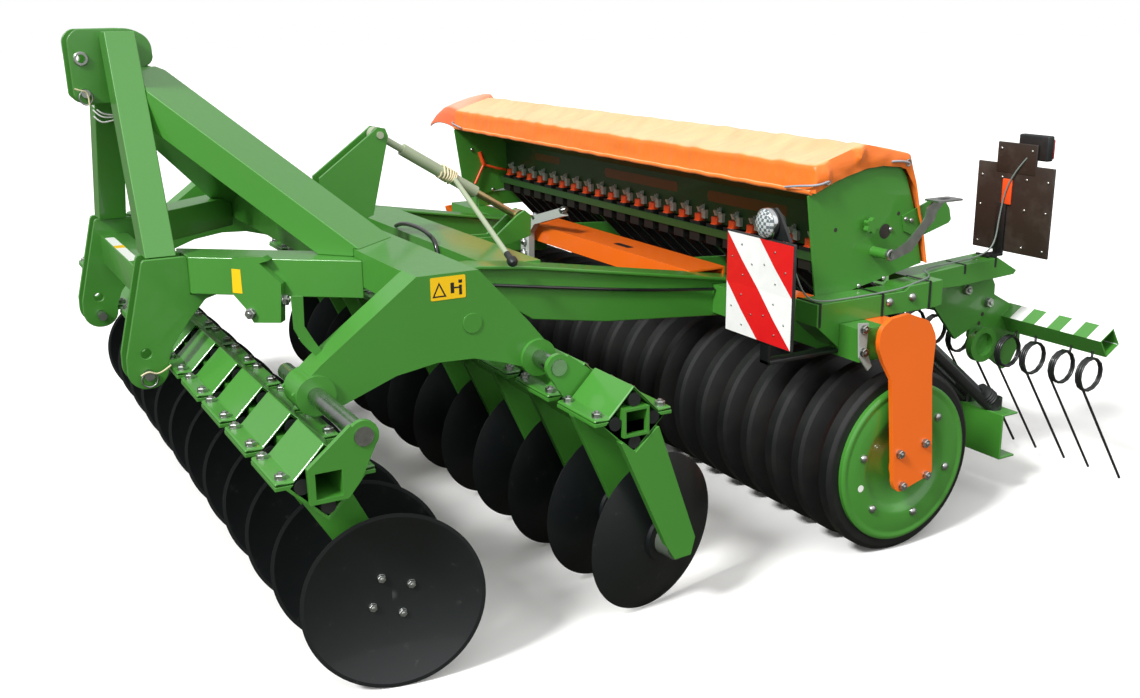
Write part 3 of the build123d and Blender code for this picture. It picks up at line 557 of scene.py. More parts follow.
SET_FITTINGS = scatter_tree()
green = enamel("green_enamel", GREEN, GREEN_GLOSS)
zinc = plated("zinc_plate", ZINC)
yellow_zinc = plated("yellow_zinc_plate", ZINC_YELLOW, 0.34)
soften("headstock_posts", green)
for label, side in SIDES.items():
    holed_plate(f"top_plate_{label}", TOP_PLATE,
                [(TOP_PIN_Y, TOP_HOLE_Z, 0.013), (TOP_PIN_Y, TOP_PIN_Z, 0.0125)],
                *sorted((side * 0.0525, side * 0.0675)), "top_link_plates" if side > 0 else None)
    for place, middle in (("outer", 0.470), ("inner", 0.380)):
        holed_plate(f"hitch_plate_{label}_{place}", HITCH_PLATE,
                    [(PIN_Y, 0.681, 0.015), (PIN_Y, PIN_LOW, 0.0145)],
                    *sorted((side * (middle - 0.0075), side * (middle + 0.0075))),
                    "hitch_plates" if side > 0 and place == "outer" else None)
    ring = turned([(0.013, 0), (0.021, 0), (0.021, 0.004), (0.019, 0.006), (0.013, 0.006), (0.013, 0)], 32)
    new_piece(f"top_bush_{label}", moved(ring, turned_to((side * 0.0675, TOP_PIN_Y, TOP_HOLE_Z), side)), zinc,
              "chassis")
rounded_slab("hitch_cross", (-0.3735, -1.425, 0.800), (0.3735, -1.335, 0.900), EDGE_ROUND, green, "chassis")
dress("hitch_pins", zinc)
bolt_m16 = shaded_object("model_bolt_m16", hex_head(0.024, 0.012), zinc)
bolt_m12 = shaded_object("model_bolt_m12", hex_head(0.019, 0.010), zinc)
dome_work = turned([(0, 0), (0.0145, 0), (0.0145, 0.002), (0.0135, 0.006), (0.010, 0.0095), (0.005, 0.0112),
                    (0, 0.0118)], 20)
dome = shaded_object("model_dome_bolt", dome_work, zinc)
rivet_shape = turned([(0, 0), (0.006, 0), (0.0058, 0.002), (0.004, 0.0036), (0, 0.0042)], 14)
rivet = shaded_object("model_rivet", rivet_shape, zinc)
for label, side in SIDES.items():
    ring = [(side * 0.493, y, z) for y, z in circle(PIN_Y, PIN_LOW - 0.012, 0.024, 8)]
    wire(f"lower_pin_clip_{label}", ring, CLIP_WIRE, zinc, "chassis", cyclic=True)
wire("top_pin_clip", [(0.088, y, z) for y, z in circle(TOP_PIN_Y, 1.392, 0.020, 8, 0.022)], CLIP_WIRE, zinc,
     "chassis", cyclic=True)
cream = matt("cream_cord", "#D6CBA6", 0.7, 1.0, 0.0003, 0.02)
wire("top_pin_bow", [(0.094, -1.512, 1.420), (0.096, -1.498, 1.414), (0.094, -1.484, 1.412),
                     (0.093, -1.474, 1.400), (0.094, -1.474, 1.370)], BOW_WIRE, cream, "chassis")
for label, side in SIDES.items():
    bow = ((0.498, -0.024, 0.004), (0.503, -0.005, 0.018), (0.503, 0.018, 0.004), (0.500, 0.040, 0.010),
           (0.497, 0.062, 0.024))
    wire(f"lower_pin_bow_{label}", [(side * x, PIN_Y + dy, PIN_LOW + dz) for x, dy, dz in bow], BOW_WIRE,
         cream, "chassis")
white_cord = matt("white_cord", "#E4E6E2", 0.7, 1.0, 0.0003, 0.01)
for number, drop in enumerate((0.0, 0.014, 0.034)):
    line = [(-0.181, -1.428, 1.352 - drop), (-0.170, -1.412, 1.330 - drop),
            (-0.175, -1.385, 1.318 - drop * 0.6), (-0.182, -1.345, 1.318 - drop * 0.3)]
    cable(f"post_cord_{number + 1}", line, 0.005, white_cord, "chassis")


# Main frame
# Diagonal beams, struts, the saddle and its two cheeks in the same green. The yellow sign on the near cheek
# has a plain triangle and bars, and the other labels stay blank.
FILM_YELLOW = "#F5C400"
FILM_T = 0.0008
SIGN_FACE = 1.2001
BEAM_TURN = -38.2
BEAM_SPOT = (0.578, -1.201, 0)


def film(name, low, high, material, body, corner=0.004):
    """Thin stuck-on plate with round corners between two corners of a flat box."""
    thin = min(range(3), key=lambda k: high[k] - low[k])
    work = bmesh.new()
    slab(work, low, high)
    edges = [e for e in work.edges if abs(e.verts[0].co[thin] - e.verts[1].co[thin]) > 1e-7]
    return new_piece(name, rounded(work, edges, corner, 4), material, body)


def plate_work(outline, near, far, axis=0):
    """Flat plate from an outline across one axis, between two depths, as a bmesh."""
    work = bmesh.new()
    rows = []
    for depth in (near, far):
        rows.append([work.verts.new((depth, a, b) if axis == 0 else (a, depth, b)) for a, b in outline])
    work.faces.new(rows[0])
    work.faces.new(rows[1][::-1])
    for k in range(len(outline)):
        n = (k + 1) % len(outline)
        work.faces.new((rows[0][k], rows[0][n], rows[1][n], rows[1][k]))
    bmesh.ops.recalc_face_normals(work, faces=work.faces)
    return work


yellow = enamel("yellow_film", FILM_YELLOW, 0.4, coat=0.3, mottle=0.02)
white = enamel("white_film", "#E9ECE6", 0.4, coat=0.2, mottle=0.02)
for name in ("diagonal_beams", "strut_beams", "saddle_beam", "saddle_cheeks", "front_link_bracket"):
    soften(name, green)
film("cheek_plate_left", (SIGN_FACE, -0.856, 0.909), (SIGN_FACE + FILM_T, -0.757, 0.970), yellow, "chassis")
film("cross_sticker", (-0.290, -1.422, 0.9000), (0.170, -1.392, 0.9008), white, "chassis", 0.006)
film("cross_sticker_end", (-0.120, -1.4225, 0.9008), (-0.070, -1.3915, 0.9012), yellow, "chassis", 0.002)
marks = plate_work([(-0.852, 0.917), (-0.812, 0.917), (-0.832, 0.957)], 1.2009, 1.2012)
for y0, z0, y1, z1 in ((-0.800, 0.924, -0.790, 0.952), (-0.776, 0.918, -0.768, 0.944),
                       (-0.777, 0.949, -0.767, 0.958), (-0.790, 0.936, -0.776, 0.940)):
    joined(marks, plate_work([(y0, z0), (y1, z0), (y1, z1), (y0, z1)], 1.2009, 1.2012))
ink = matt("black_ink", "#14130E", 0.5, 1.0, 0.0001, 0.01)
new_piece("cheek_marks", marks, ink, "chassis")
field = plate_work([(-0.845, 0.921), (-0.819, 0.921), (-0.832, 0.948)], 1.2012, 1.2014)
new_piece("cheek_mark_field", field, yellow, "chassis")
beam_side = Matrix.Translation(BEAM_SPOT) @ Matrix.Rotation(math.radians(BEAM_TURN), 4, "Z")
bracket_outline = [(0.008, 0.961), (0.101, 0.966), (0.115, 0.955), (0.088, 0.947), (0.149, 0.889),
                   (0.140, 0.774), (0.058, 0.772), (0.037, 0.813), (0.001, 0.856)]
label_outline = [(0.002, 0.860), (0.031, 0.858), (0.030, 0.928), (0.004, 0.930)]
for name, outline, near, far, finish in (("beam_bracket", bracket_outline, -0.004, 0.030, green),
                                         ("beam_bracket_label", label_outline, 0.0301, 0.0308, yellow)):
    new_piece(name, moved(plate_work(outline, near, far), beam_side), finish, "chassis",
              sharp=30)
scatter("beam_bracket_bolts", bolt_m16,
        [(tuple(beam_side @ Vector(spot)), tuple(beam_side.to_3x3() @ Vector(way)))
         for spot, way in (((0.030, 0.052, 0.800), (1, 0, 0)), ((0.012, 0.146, 0.838), (0, 1, 0)))],
        "chassis", 1.15)
bar_outline = [(-1.199, 0.951), (-1.171, 0.948), (-1.173, 0.872), (-1.150, 0.830), (-1.132, 0.800),
               (-1.142, 0.785), (-1.164, 0.806), (-1.182, 0.830), (-1.198, 0.866)]
new_piece("leg_stop_bar", plate_work(bar_outline, 1.122, 1.134), green, "chassis", sharp=30)


# Disc gangs
# Two square tubes under clamp housings with rubber cords, the arms, hubs and discs. Each clamp is held by
# four bolts on its flanges, and each disc by four bolts through its middle.
GANG_Y = {"front": -1.264, "rear": -0.443}
CLAMP_PITCH = 0.250
CLAMP_FIRST = 1.430
CLAMP_COUNT = 12
FLANGE_REACH = 0.0965
FLANGE_TOP = 0.627
BOLT_REACH = 0.075
DISC_R = 0.230
DISC_BOLT_DEPTH = 0.0393
DISC_BOLT_R = 0.055
DISC_BOLT_TURN = 26
DISC_ROWS = {"front": (1.454, -1.090, 11.7, 2.1, -1), "rear": (1.427, -0.315, 12.2, -3.2, 1)}

for name, radius in (("gang_beams", FINE_ROUND), ("arm_covers", 0.005), ("disc_arms", FINE_ROUND)):
    soften(name, green, radius)
rubber = matt("moulded_rubber", "#121516", 0.5, 1.2, 0.0005, 0.02)
blade = enamel("disc_black", "#0B1012", 0.46, coat=0.2, mottle=0.12)
dress("gang_shafts", plated("bright_shaft", "#B9BBBB", 0.22))
dress("rubber_cords", rubber)
dress("disc_hubs", enamel("hub_grey_green", "#525A50", 0.42, coat=0.4))
scatter("clamp_bolts", bolt_m16,
        [((CLAMP_FIRST - CLAMP_PITCH * number + dx, tube_y + dy, FLANGE_TOP), (0, 0, 1))
         for tube_y in GANG_Y.values() for number in range(CLAMP_COUNT)
         for dx in (-BOLT_REACH, BOLT_REACH) for dy in (-FLANGE_REACH, FLANGE_REACH)],
        "chassis")
for row, (first_x, y, cut, tilt, side) in DISC_ROWS.items():
    cut, tilt = math.radians(cut), math.radians(tilt)
    swing = math.sin(cut) if row == "rear" else -math.sin(cut)
    axis = Vector((math.cos(cut) * math.cos(tilt), swing * math.cos(tilt), math.sin(tilt))) * side
    level = axis.cross(Vector((0, 0, 1))).normalized()
    upright = level.cross(axis)
    outs = [level * a + upright * b for a, b in ((math.cos(t), math.sin(t)) for t in
                                                 (math.radians(DISC_BOLT_TURN + 90 * k) for k in range(4)))]
    for number in range(CLAMP_COUNT):
        body = f"disc_{row}_{number + 1:02d}"
        dress(body, blade)
        centre = Vector((first_x - CLAMP_PITCH * number, y, DISC_R * math.cos(tilt))) + axis * DISC_BOLT_DEPTH
        scatter(f"{body}_bolts", bolt_m12, [(tuple(centre + out * DISC_BOLT_R), tuple(-axis))
                                            for out in outs], body)


# Rear frame
# Long arms and their beams, with the turnbuckle that sets the working depth: zinc rods in a painted tube,
# a long lever with a black knob, and a rope wound round the tube.
LEVER_KNOB = Vector((0.790, -0.415, 0.897))
LEVER_ROOT = Vector((0.018, -0.255, 1.049))
TURNBUCKLE_FRONT = Vector((0, -0.540, 1.225))
TURNBUCKLE_REAR = Vector((0, 0.012, 0.884))
ROPE_AT = Vector((0.003, -0.280, 1.064))
ROPE_STEPS = 61
ROPE_STEPS_A_TURN = 10

for name in ("rear_arms", "rear_cross_beams", "rear_link_bracket"):
    soften(name, green)
dress("turnbuckle_tube", enamel("weathered_green", "#9DA98C", 0.45, coat=0.3, mottle=0.25))
dress("turnbuckle_rod", yellow_zinc)
black = matt("black_plastic", "#15181A", 0.45, 0.9, 0.0003)
knob = turned([(0, -0.022), (0.008, -0.021), (0.0125, -0.016), (0.0165, -0.006), (0.0165, 0.006),
               (0.0125, 0.015), (0.010, 0.022), (0.0105, 0.060), (0.0, 0.062)], 24)
lever_turn = (LEVER_ROOT - LEVER_KNOB).normalized().to_track_quat("Z", "Y").to_matrix().to_4x4()
new_piece("lever_knob", moved(knob, Matrix.Translation(LEVER_KNOB) @ lever_turn), black, "turnbuckle_tube")
onward = (TURNBUCKLE_REAR - TURNBUCKLE_FRONT).normalized()
below = onward.cross(Vector((1, 0, 0)))
wound = []
for k in range(ROPE_STEPS):
    turn = 2 * math.pi * k / ROPE_STEPS_A_TURN
    reach = 0.025 + 0.005 * math.sin(k * 1.9)
    wound.append(tuple(ROPE_AT + onward * (0.0011 * k - 0.033 + 0.006 * math.sin(k * 0.7))
                       + Vector((1, 0, 0)) * reach * math.cos(turn) + below * reach * math.sin(turn)))
cable("rope_bundle", wound, 0.007, cream, "turnbuckle_tube")


# Roller
# Rubber wedge rings on the orange drum, dished green end discs with six rivets, and the orange arms.
ORANGE = "#F26C14"
ROLLER_Y, ROLLER_Z = 0.548, 0.290
END_FACE = 1.508
RIM_FACE = 1.516
ARM_FACE = 1.551
ARM_INNER = 1.5
ARM_CORNER = 0.030
FAR_ARM_TOP = 0.690
FAR_ARM_SQUASH = 0.1
RIVET_CIRCLE = 0.177
CAP_INNER, CAP_OUTER = 1.4600, 1.4708
CLAMP_FACE = 1.4772
END_DISC = [(0.031, -0.009), (0.066, -0.0085), (0.136, -0.0075), (0.146, -0.002), (0.156, 0.006),
            (0.168, 0.008), (0.212, 0.008), (0.222, 0.005), (0.230, 0.0045), (0.236, 0.007), (0.244, 0.007),
            (0.250, 0.002), (0.250, -0.010), (0.031, -0.010)]

orange = enamel("orange_enamel", ORANGE, 0.36)
roller_frame = soften("roller_frame", orange, corner=ARM_CORNER, beyond=ARM_INNER)
for vert in roller_frame.data.vertices:
    if vert.co.x < -ARM_INNER and vert.co.z > FAR_ARM_TOP:
        vert.co.z = FAR_ARM_TOP + (vert.co.z - FAR_ARM_TOP) * FAR_ARM_SQUASH
dress("roller_drum", orange)
dress("roller_rings", matt("ring_rubber", "#060809", 0.52, 2.0, 0.0006, 0.012))
for label, side in SIDES.items():
    disc = moved(turned(END_DISC, 72), turned_to((side * END_FACE, ROLLER_Y, ROLLER_Z), side))
    new_piece(f"end_disc_{label}", disc, green, "roller",
              "roller_end_discs" if side > 0 else None)
seats = []
for k in range(6):
    turn = math.radians(45 + 60 * k)
    seats.append((RIM_FACE, ROLLER_Y + RIVET_CIRCLE * math.cos(turn),
                  ROLLER_Z + RIVET_CIRCLE * math.sin(turn)))
scatter("end_disc_rivets", dome, mirrored(sideways(*seats)), "roller", 0.9)
scatter("roller_arm_bolts", bolt_m16,
        mirrored(sideways((ARM_FACE, 0.487, 0.341), (ARM_FACE, 0.589, 0.357), (ARM_FACE, 0.505, 0.235),
                          (ARM_FACE, 0.603, 0.250))), "rear_frame")
dot = moved(turned([(0, 0), (0.011, 0), (0.011, 0.0006), (0, 0.0006)], 24),
            turned_to((RIM_FACE, 0.372, 0.241)))
new_piece("end_disc_dot", dot, white, "roller")
# Painted shade: a black film stands in for the dark inside of the slot in the beam's top.
film("beam_slot", (0.085, 0.374, 0.7602), (0.195, 0.402, 0.7606), black, "rear_frame", 0.006)
steel_dull = matt("dull_zinc", "#AAB0A9", 0.42, 0.8, 0.0002, 0.03)
strap_outline = [(-0.187, 0.870), (-0.441, 0.802), (-0.527, 0.730), (-0.534, 0.600), (-0.458, 0.600),
                 (-0.453, 0.728), (-0.406, 0.773), (-0.155, 0.842)]
new_piece("bent_strap", plate_work(strap_outline, 0.286, 0.312, axis=1), steel_dull, "rear_frame",
          sharp=30)
scatter("strap_bolts", bolt_m16,
        [((-0.171, 0.300, 0.858), (0, -0.3, 0.95)), ((-0.411, 0.300, 0.800), (-0.3, -0.3, 0.9)),
         ((-0.490, 0.286, 0.690), (0, -1, 0)), ((-0.490, 0.286, 0.640), (0, -1, 0))],
        "rear_frame", 1.3)
clamp_outline = [(0.366, 0.745), (0.404, 0.741), (0.400, 0.660), (0.425, 0.607), (0.410, 0.595),
                 (0.374, 0.640)]
new_piece("beam_end_clamp", plate_work(clamp_outline, 1.4712, CLAMP_FACE), steel_dull, "rear_frame",
          sharp=30)
scatter("beam_clamp_bolts", bolt_m16, sideways((CLAMP_FACE, 0.385, 0.725), (CLAMP_FACE, 0.388, 0.655)),
        "rear_frame")
for label, side in SIDES.items():
    near, far = sorted((side * CAP_INNER, side * CAP_OUTER))
    rounded_slab(f"beam_end_cap_{label}", (near, 0.3815, 0.6235), (far, 0.4785, 0.7205), 0.003, green,
                 "rear_frame")


# Seed box
# Hopper, end plates, side beams and coulter beam in green under a coated cloth cover, which two elastic
# cords hold down. Every outlet has an orange shutter and a zinc setting lever with notches.
CLOTH_END = 1.290
CLOTH_ROWS = 8
CLOTH_PROFILE = [(0.329, 1.106), (0.333, 1.148), (0.336, 1.181), (0.345, 1.188), (0.430, 1.213),
                 (0.514, 1.238), (0.528, 1.238), (0.620, 1.220), (0.704, 1.201), (0.716, 1.194),
                 (0.740, 1.125), (0.767, 1.032), (0.793, 0.935), (0.814, 0.846)]
CLOTH_SIDE = [(0.342, 1.104), (0.342, 1.105), (0.343, 1.106), (0.350, 1.109), (0.428, 1.139), (0.500, 1.156),
              (0.528, 1.163), (0.600, 1.169), (0.674, 1.160), (0.698, 1.152), (0.742, 1.090), (0.757, 1.022),
              (0.786, 0.925), (0.802, 0.847)]
CLOTH_STEP = 0.012
CLOTH_ALONG = 0.014
WRINKLE = 0.0045
HEM_R = 0.0075
HEM_STEPS = 40
HEM_END = 1.286
FLAP_ROOT = [(0.540, 1.236), (0.521, 1.240), (0.460, 1.222), (0.400, 1.204), (0.345, 1.187), (0.334, 1.160),
             (0.331, 1.130), (0.329, 1.106)]
FLAP_EDGE = [(-1.330, 0.545, 1.226), (-1.360, 0.520, 1.224), (-1.410, 0.455, 1.212), (-1.450, 0.395, 1.188),
             (-1.480, 0.345, 1.160), (-1.495, 0.318, 1.138), (-1.502, 0.302, 1.116), (-1.502, 0.294, 1.098)]
FLAP_STEPS = 8
UNIT_COUNT = 24
UNIT_PITCH = 0.105
SHUTTER_AT = (0.592, 0.884)
HOPPER_SLOPE = (0, -0.72, -0.69)
RIVET_COLUMNS = 46
BOOT_AT = Vector((0, 1.135, 0.340))
TUBE_SPREAD = 1.1
CRANK_AT = (1.347, 0.595, 0.903)
STAR_AT = (0.559, 0.990)
END_FACE_X = 1.2800
END_DOMES_X = 1.2862
BEAM_FACE_X = 1.3802
FAR_INNER_X = -1.2740
FORK_AT = (-1.266, 0.467, 0.925)
TIE_HALF, TIE_T = 0.004, 0.0008


def coated_cloth(name, bleached, plain):
    """PVC-coated weave: sun-bleached where it faces up, with a fine cross grain and soft creases."""
    made, tree, skin, place = new_material(name)
    facing = node(tree, "ShaderNodeSeparateXYZ", {"Vector": place.outputs["Normal"]}).outputs["Z"]
    part = ramp(tree, clouds(tree, place, 5.0, 6.0), 0.80, 1.0, 0.3, 0.7)
    fade = calc(tree, "MULTIPLY", ramp(tree, facing, 0.0, 1.0, 0.62, 0.97), part)
    squeeze = node(tree, "ShaderNodeMapping", {"Vector": place.outputs["Object"], "Rotation": (0, 0, 0.35),
                                               "Scale": (24, 5, 12)})
    crease = node(tree, "ShaderNodeTexNoise", {"Vector": squeeze.outputs[0], "Scale": 1.0, "Detail": 3.0})
    fold = bumps(tree, crease.outputs[0], 0.70, 0.009)
    weave = node(tree, "ShaderNodeTexChecker", {"Vector": place.outputs["Object"], "Scale": 700.0})
    fill(tree, skin, {"Base Color": blend(tree, fade, colour(plain), colour(bleached)),
                      "Normal": bumps(tree, weave.outputs["Fac"], 0.12, 0.0003, Normal=fold),
                      "Roughness": 0.42, "Sheen Weight": 0.15})
    return made


def spaced(points, partner, step):
    """Even samples of a profile, each with its partner point on the second line."""
    samples = []
    for (a, b), (c, d) in zip(zip(points, points[1:]), zip(partner, partner[1:])):
        count = max(1, round(math.dist(a, b) / step))
        for k in range(count):
            t = k / count
            samples.append(([a[i] + (b[i] - a[i]) * t for i in (0, 1)],
                            [c[i] + (d[i] - c[i]) * t for i in (0, 1)]))
    samples.append((points[-1], partner[-1]))
    return samples


def cover_row(samples, x):
    """One crosswise line of the cover: creases on its top, a loose front band, held at the ends."""
    hold = min(1.0, (CLOTH_END - abs(x)) / 0.06)
    row = []
    for k, ((y, z), _) in enumerate(samples):
        before, after = samples[max(0, k - 1)][0], samples[min(len(samples) - 1, k + 1)][0]
        way = Vector((0, -(after[1] - before[1]), after[0] - before[0])).normalized()
        on_top = max(0.0, way.z)
        crease = noise.noise((x * 15 + y * 9, y * 4, 3.1)) * on_top * 1.3
        crease += noise.noise((x * 5, z * 26, 8.7)) * (1 - on_top) * 0.8
        crease += noise.noise((x * 34 - y * 22, z * 9, 5.5)) * 0.45
        slack = -0.004 * math.sin(math.pi * min(1, max(0, (y - 0.345) / 0.17))) if y < 0.515 else 0
        shift = way * (crease * WRINKLE * hold + slack * hold)
        row.append((x, y + shift.y, z + shift.z))
    return row


def end_puff(y, z, t, side):
    """How far the gathered end stands out, with its two pleats."""
    puff = 0.006 * math.sin(math.pi * t) + 0.003 * t
    puff += 0.017 * math.exp(-((y - 0.508 + 0.020 * t) / 0.010) ** 2) * math.sin(math.pi * min(1, 0.3 + t))
    puff += 0.013 * math.exp(-((y - 0.366 - 0.016 * t) / 0.012) ** 2) * math.sin(math.pi * t)
    puff -= 0.004 * math.exp(-((y - 0.545) / 0.016) ** 2) * t
    puff += 0.004 * noise.noise((y * 26, z * 30, 2.2 * side)) * t
    return max(-0.003, puff)


def cover_mesh():
    """Cover cloth: the crosswise lines joined along the machine, and a gathered end on each side."""
    samples = spaced(CLOTH_PROFILE, CLOTH_SIDE, CLOTH_STEP)
    work = bmesh.new()
    count = round(2 * CLOTH_END / CLOTH_ALONG)
    rows = [[work.verts.new(spot) for spot in cover_row(samples, -CLOTH_END + 2 * CLOTH_END * column / count)]
            for column in range(count + 1)]
    for low, high in zip(rows, rows[1:]):
        for k in range(len(low) - 1):
            work.faces.new((low[k], high[k], high[k + 1], low[k + 1]))
    for side, edge in ((1, rows[-1]), (-1, rows[0])):
        columns = []
        for k, (spot, inner) in enumerate(samples):
            column = [edge[k]]
            for j in range(1, CLOTH_ROWS + 1):
                t = j / CLOTH_ROWS
                y = spot[0] + (inner[0] - spot[0]) * t
                z = spot[1] + (inner[1] - spot[1]) * t
                column.append(work.verts.new((side * (CLOTH_END + end_puff(y, z, t, side)), y, z)))
            columns.append(column)
        for low, high in zip(columns, columns[1:]):
            for j in range(CLOTH_ROWS):
                ring = (low[j], high[j], high[j + 1], low[j + 1])
                work.faces.new(ring if side > 0 else ring[::-1])
    bmesh.ops.remove_doubles(work, verts=work.verts, dist=0.0004)
    return work


def flap_mesh(inset):
    """The cover's loose far corner, standing off the end plate like a scoop."""
    work = bmesh.new()
    rows = []
    for (y, z), edge in zip(FLAP_ROOT, FLAP_EDGE):
        row = []
        for k in range(FLAP_STEPS + 1):
            t = k / FLAP_STEPS
            spot = Vector((-CLOTH_END, y, z)).lerp(Vector(edge), t)
            spot += Vector((-0.004, -0.010, 0.024)) * 4 * t * (1 - t)
            spot += Vector((0.3, 0.6, -0.7)) * inset
            row.append(work.verts.new(spot))
        rows.append(row)
    for low, high in zip(rows, rows[1:]):
        for k in range(FLAP_STEPS):
            work.faces.new((low[k], low[k + 1], high[k + 1], high[k]))
    bmesh.ops.subdivide_edges(work, edges=work.edges[:], cuts=2, use_grid_fill=True, smooth=1.0)
    return work


for name in ("hopper_ends", "drill_side_beams", "coulter_beam"):
    soften(name, green)
# Painted shade: the hopper takes a darker green than the frame, standing in for the shade under the cover's
# overhang.
shade_green = enamel("hopper_green_painted_shade", "#1F4217", 0.5, coat=0.3, mottle=0.14)
tube_black = matt("tube_plastic", "#15181A", 0.26, 1.0, 0.0002, 0.02, coat=0.8)
orange_plastic = matt("orange_plastic", "#E8501C", 0.42, 1.0, 0.0002, 0.01)
dress("hopper", shade_green)
# The outlet housings are black plastic, darkened further to near black as painted shade under the rail.
dress("metering_row", matt("outlet_plastic_painted_shade", "#040604", 0.6, 1.0, 0.0003, 0.0))
dress("seed_tubes", tube_black)

cloth = coated_cloth("coated_cloth", "#D9BC8A", "#EC741A")
cover = new_piece("cover_cloth", cover_mesh(), cloth, "rear_frame", "hopper_cover", sharp=70)
hem_line = [(-HEM_END + 2 * HEM_END * k / HEM_STEPS, 0.330 + 0.002 * math.sin(k * 1.7),
             1.106 + 0.002 * math.sin(k * 2.9)) for k in range(HEM_STEPS + 1)]
hem = wire("cover_hem", hem_line, HEM_R, cloth, "rear_frame")
for name, inset, finish, under in (
        ("cover_far_flap", 0.0, coated_cloth("faded_flap_cloth", "#E8A890", "#D9683C"), "cover_cloth"),
        ("cover_far_lining", 0.004, matt("grey_cloth_back", "#5E6362", 0.7, 1.5, 0.0004), "cover_far_flap")):
    flap = new_piece(name, flap_mesh(inset), finish, "rear_frame", sharp=80)

eyelet = shaded_object("model_eyelet", turned([(0.0065, 0), (0.0115, 0), (0.012, 0.0012), (0.010, 0.0026),
                                               (0.0075, 0.0022), (0.0065, 0)], 24), zinc)
scatter("cover_eyelets", eyelet, mirrored(sideways((1.3005, 0.378, 1.139), (1.2995, 0.699, 1.172))),
        "rear_frame")
elastic = matt("grey_elastic", "#9A9EA6", 0.6, 0.8, 0.0005)
for label, side in SIDES.items():
    for place, line in (("front", ((1.304, 0.378, 1.139), (1.312, 0.350, 1.134), (1.300, 0.322, 1.130),
                                   (1.272, 0.313, 1.127), (1.225, 0.312, 1.121), (1.180, 0.316, 1.113))),
                        ("rear", ((1.303, 0.699, 1.172), (1.306, 0.680, 1.178), (1.304, 0.655, 1.181),
                                  (1.298, 0.631, 1.180)))):
        cable(f"{place}_elastic_{label}", [(side * x, y, z) for x, y, z in line], 0.007, elastic,
              "rear_frame")
cable("arm_cable", [(0.7455, -0.470, 0.820), (0.7455, -0.434, 0.815), (0.7455, -0.222, 0.782),
                    (0.7455, 0.081, 0.738), (0.7455, 0.300, 0.714), (0.755, 0.372, 0.709)],
      0.011, tube_black, "rear_frame")
cable("link_hose", [(-0.150, -0.424, 0.870), (-0.100, -0.430, 0.886), (0.000, -0.434, 0.900),
                    (0.120, -0.434, 0.900), (0.220, -0.436, 0.886), (0.262, -0.440, 0.862),
                    (0.270, -0.440, 0.835)], 0.016, tube_black, "rear_frame")

shutter = bmesh.new()
slab(shutter, (-0.017, -0.022, -0.016), (0.017, 0.008, 0.018))
nose = turned([(0, -0.015), (0.010, -0.015), (0.012, -0.012), (0.012, 0.012), (0.010, 0.015), (0, 0.015)], 20)
joined(rounded(shutter, shutter.edges[:], 0.0045), moved(nose, turned_to((0, -0.018, -0.016))))
shutter_model = shaded_object("model_shutter", shutter, orange_plastic)
notched = [(0.006, 0.006)]
for k in range(15):
    turn = math.radians(165 - 9 * k)
    reach = 0.030 if k % 2 else 0.025
    notched.append((reach * math.cos(turn), 0.012 + reach * math.sin(turn)))
handle = plate_work([(-0.006, 0.010), (-0.016, 0.030), (-0.024, 0.030), (-0.016, 0.010)], -0.006, 0.006)
tilt = Matrix.Translation((0.020, -0.010, 0.020)) @ Matrix.Rotation(math.radians(35), 4, "X")
block = moved(hex_head(0.012, 0.007), tilt)
slab(block, (0.008, -0.012, -0.012), (0.034, 0.010, 0.020))
lever_model = shaded_object("model_lever", joined(plate_work(notched, 0.010, 0.0125), handle, block),
                            steel_dull)
units = [((k - (UNIT_COUNT - 1) / 2) * UNIT_PITCH) for k in range(UNIT_COUNT)]
scatter("outlet_shutters", shutter_model, [((x, *SHUTTER_AT), (0, 0, 1)) for x in units], "rear_frame")
scatter("outlet_levers", lever_model, [((x + 0.004, SHUTTER_AT[0], SHUTTER_AT[1] + 0.012), (0, 0, 1))
                                       for x in units], "rear_frame")
seats = []
for k in range(RIVET_COLUMNS):
    x = -1.20 + 2.40 * k / (RIVET_COLUMNS - 1)
    seats += [((x, 0.5555, 1.0725), HOPPER_SLOPE), ((x + 0.02, 0.584, 1.0425), HOPPER_SLOPE)]
scatter("hopper_rivets", rivet, seats, "rear_frame", 0.9)
# The outlet rail takes the same darker green, painted shade under the hopper's overhang.
rail = bmesh.new()
slab(rail, (-1.262, 0.5520, 0.835), (1.262, 0.5605, 0.862))
new_piece("outlet_rail", rail, shade_green, "rear_frame")
red_dot = shaded_object("model_red_dot", turned([(0, 0), (0.005, 0), (0.0045, 0.004), (0, 0.005)], 12),
                        orange_plastic)
scatter("hopper_red_dots", red_dot,
        [((-1.18 + 2.36 * k / (UNIT_COUNT - 1), 0.570, 1.0575), HOPPER_SLOPE) for k in range(UNIT_COUNT)],
        "rear_frame")
window = matt("brown_window", "#6B3E14", 0.35, 2.0, 0.0002, 0.02)
for number, (x0, x1, low, high) in enumerate(((-0.974, -0.733, 0.968, 1.000), (-0.340, 0.205, 0.958, 0.996),
                                              (0.400, 0.860, 0.950, 0.990), (1.050, 1.180, 0.950, 0.988))):
    film(f"hopper_window_{number + 1}", (x0, 0.5935, low), (x1, 0.5942, high), window, "rear_frame", 0.014)
boot = turned([(0.0, 0.0), (0.027, 0.0), (0.030, 0.006), (0.026, 0.010), (0.030, 0.015), (0.026, 0.020),
               (0.030, 0.025), (0.026, 0.030), (0.029, 0.036), (0.024, 0.042), (0.0235, 0.060),
               (0.0, 0.060)], 24)
seats = []
for x in units:
    way = (Vector((x, 0.600, 0.810)) - Vector((x * TUBE_SPREAD, BOOT_AT.y, 0.310))).normalized()
    seats.append(((x * TUBE_SPREAD, BOOT_AT.y - 0.012, BOOT_AT.z + 0.004), tuple(way)))
scatter("tube_boots", shaded_object("model_boot", boot, rubber), seats, "rear_frame")

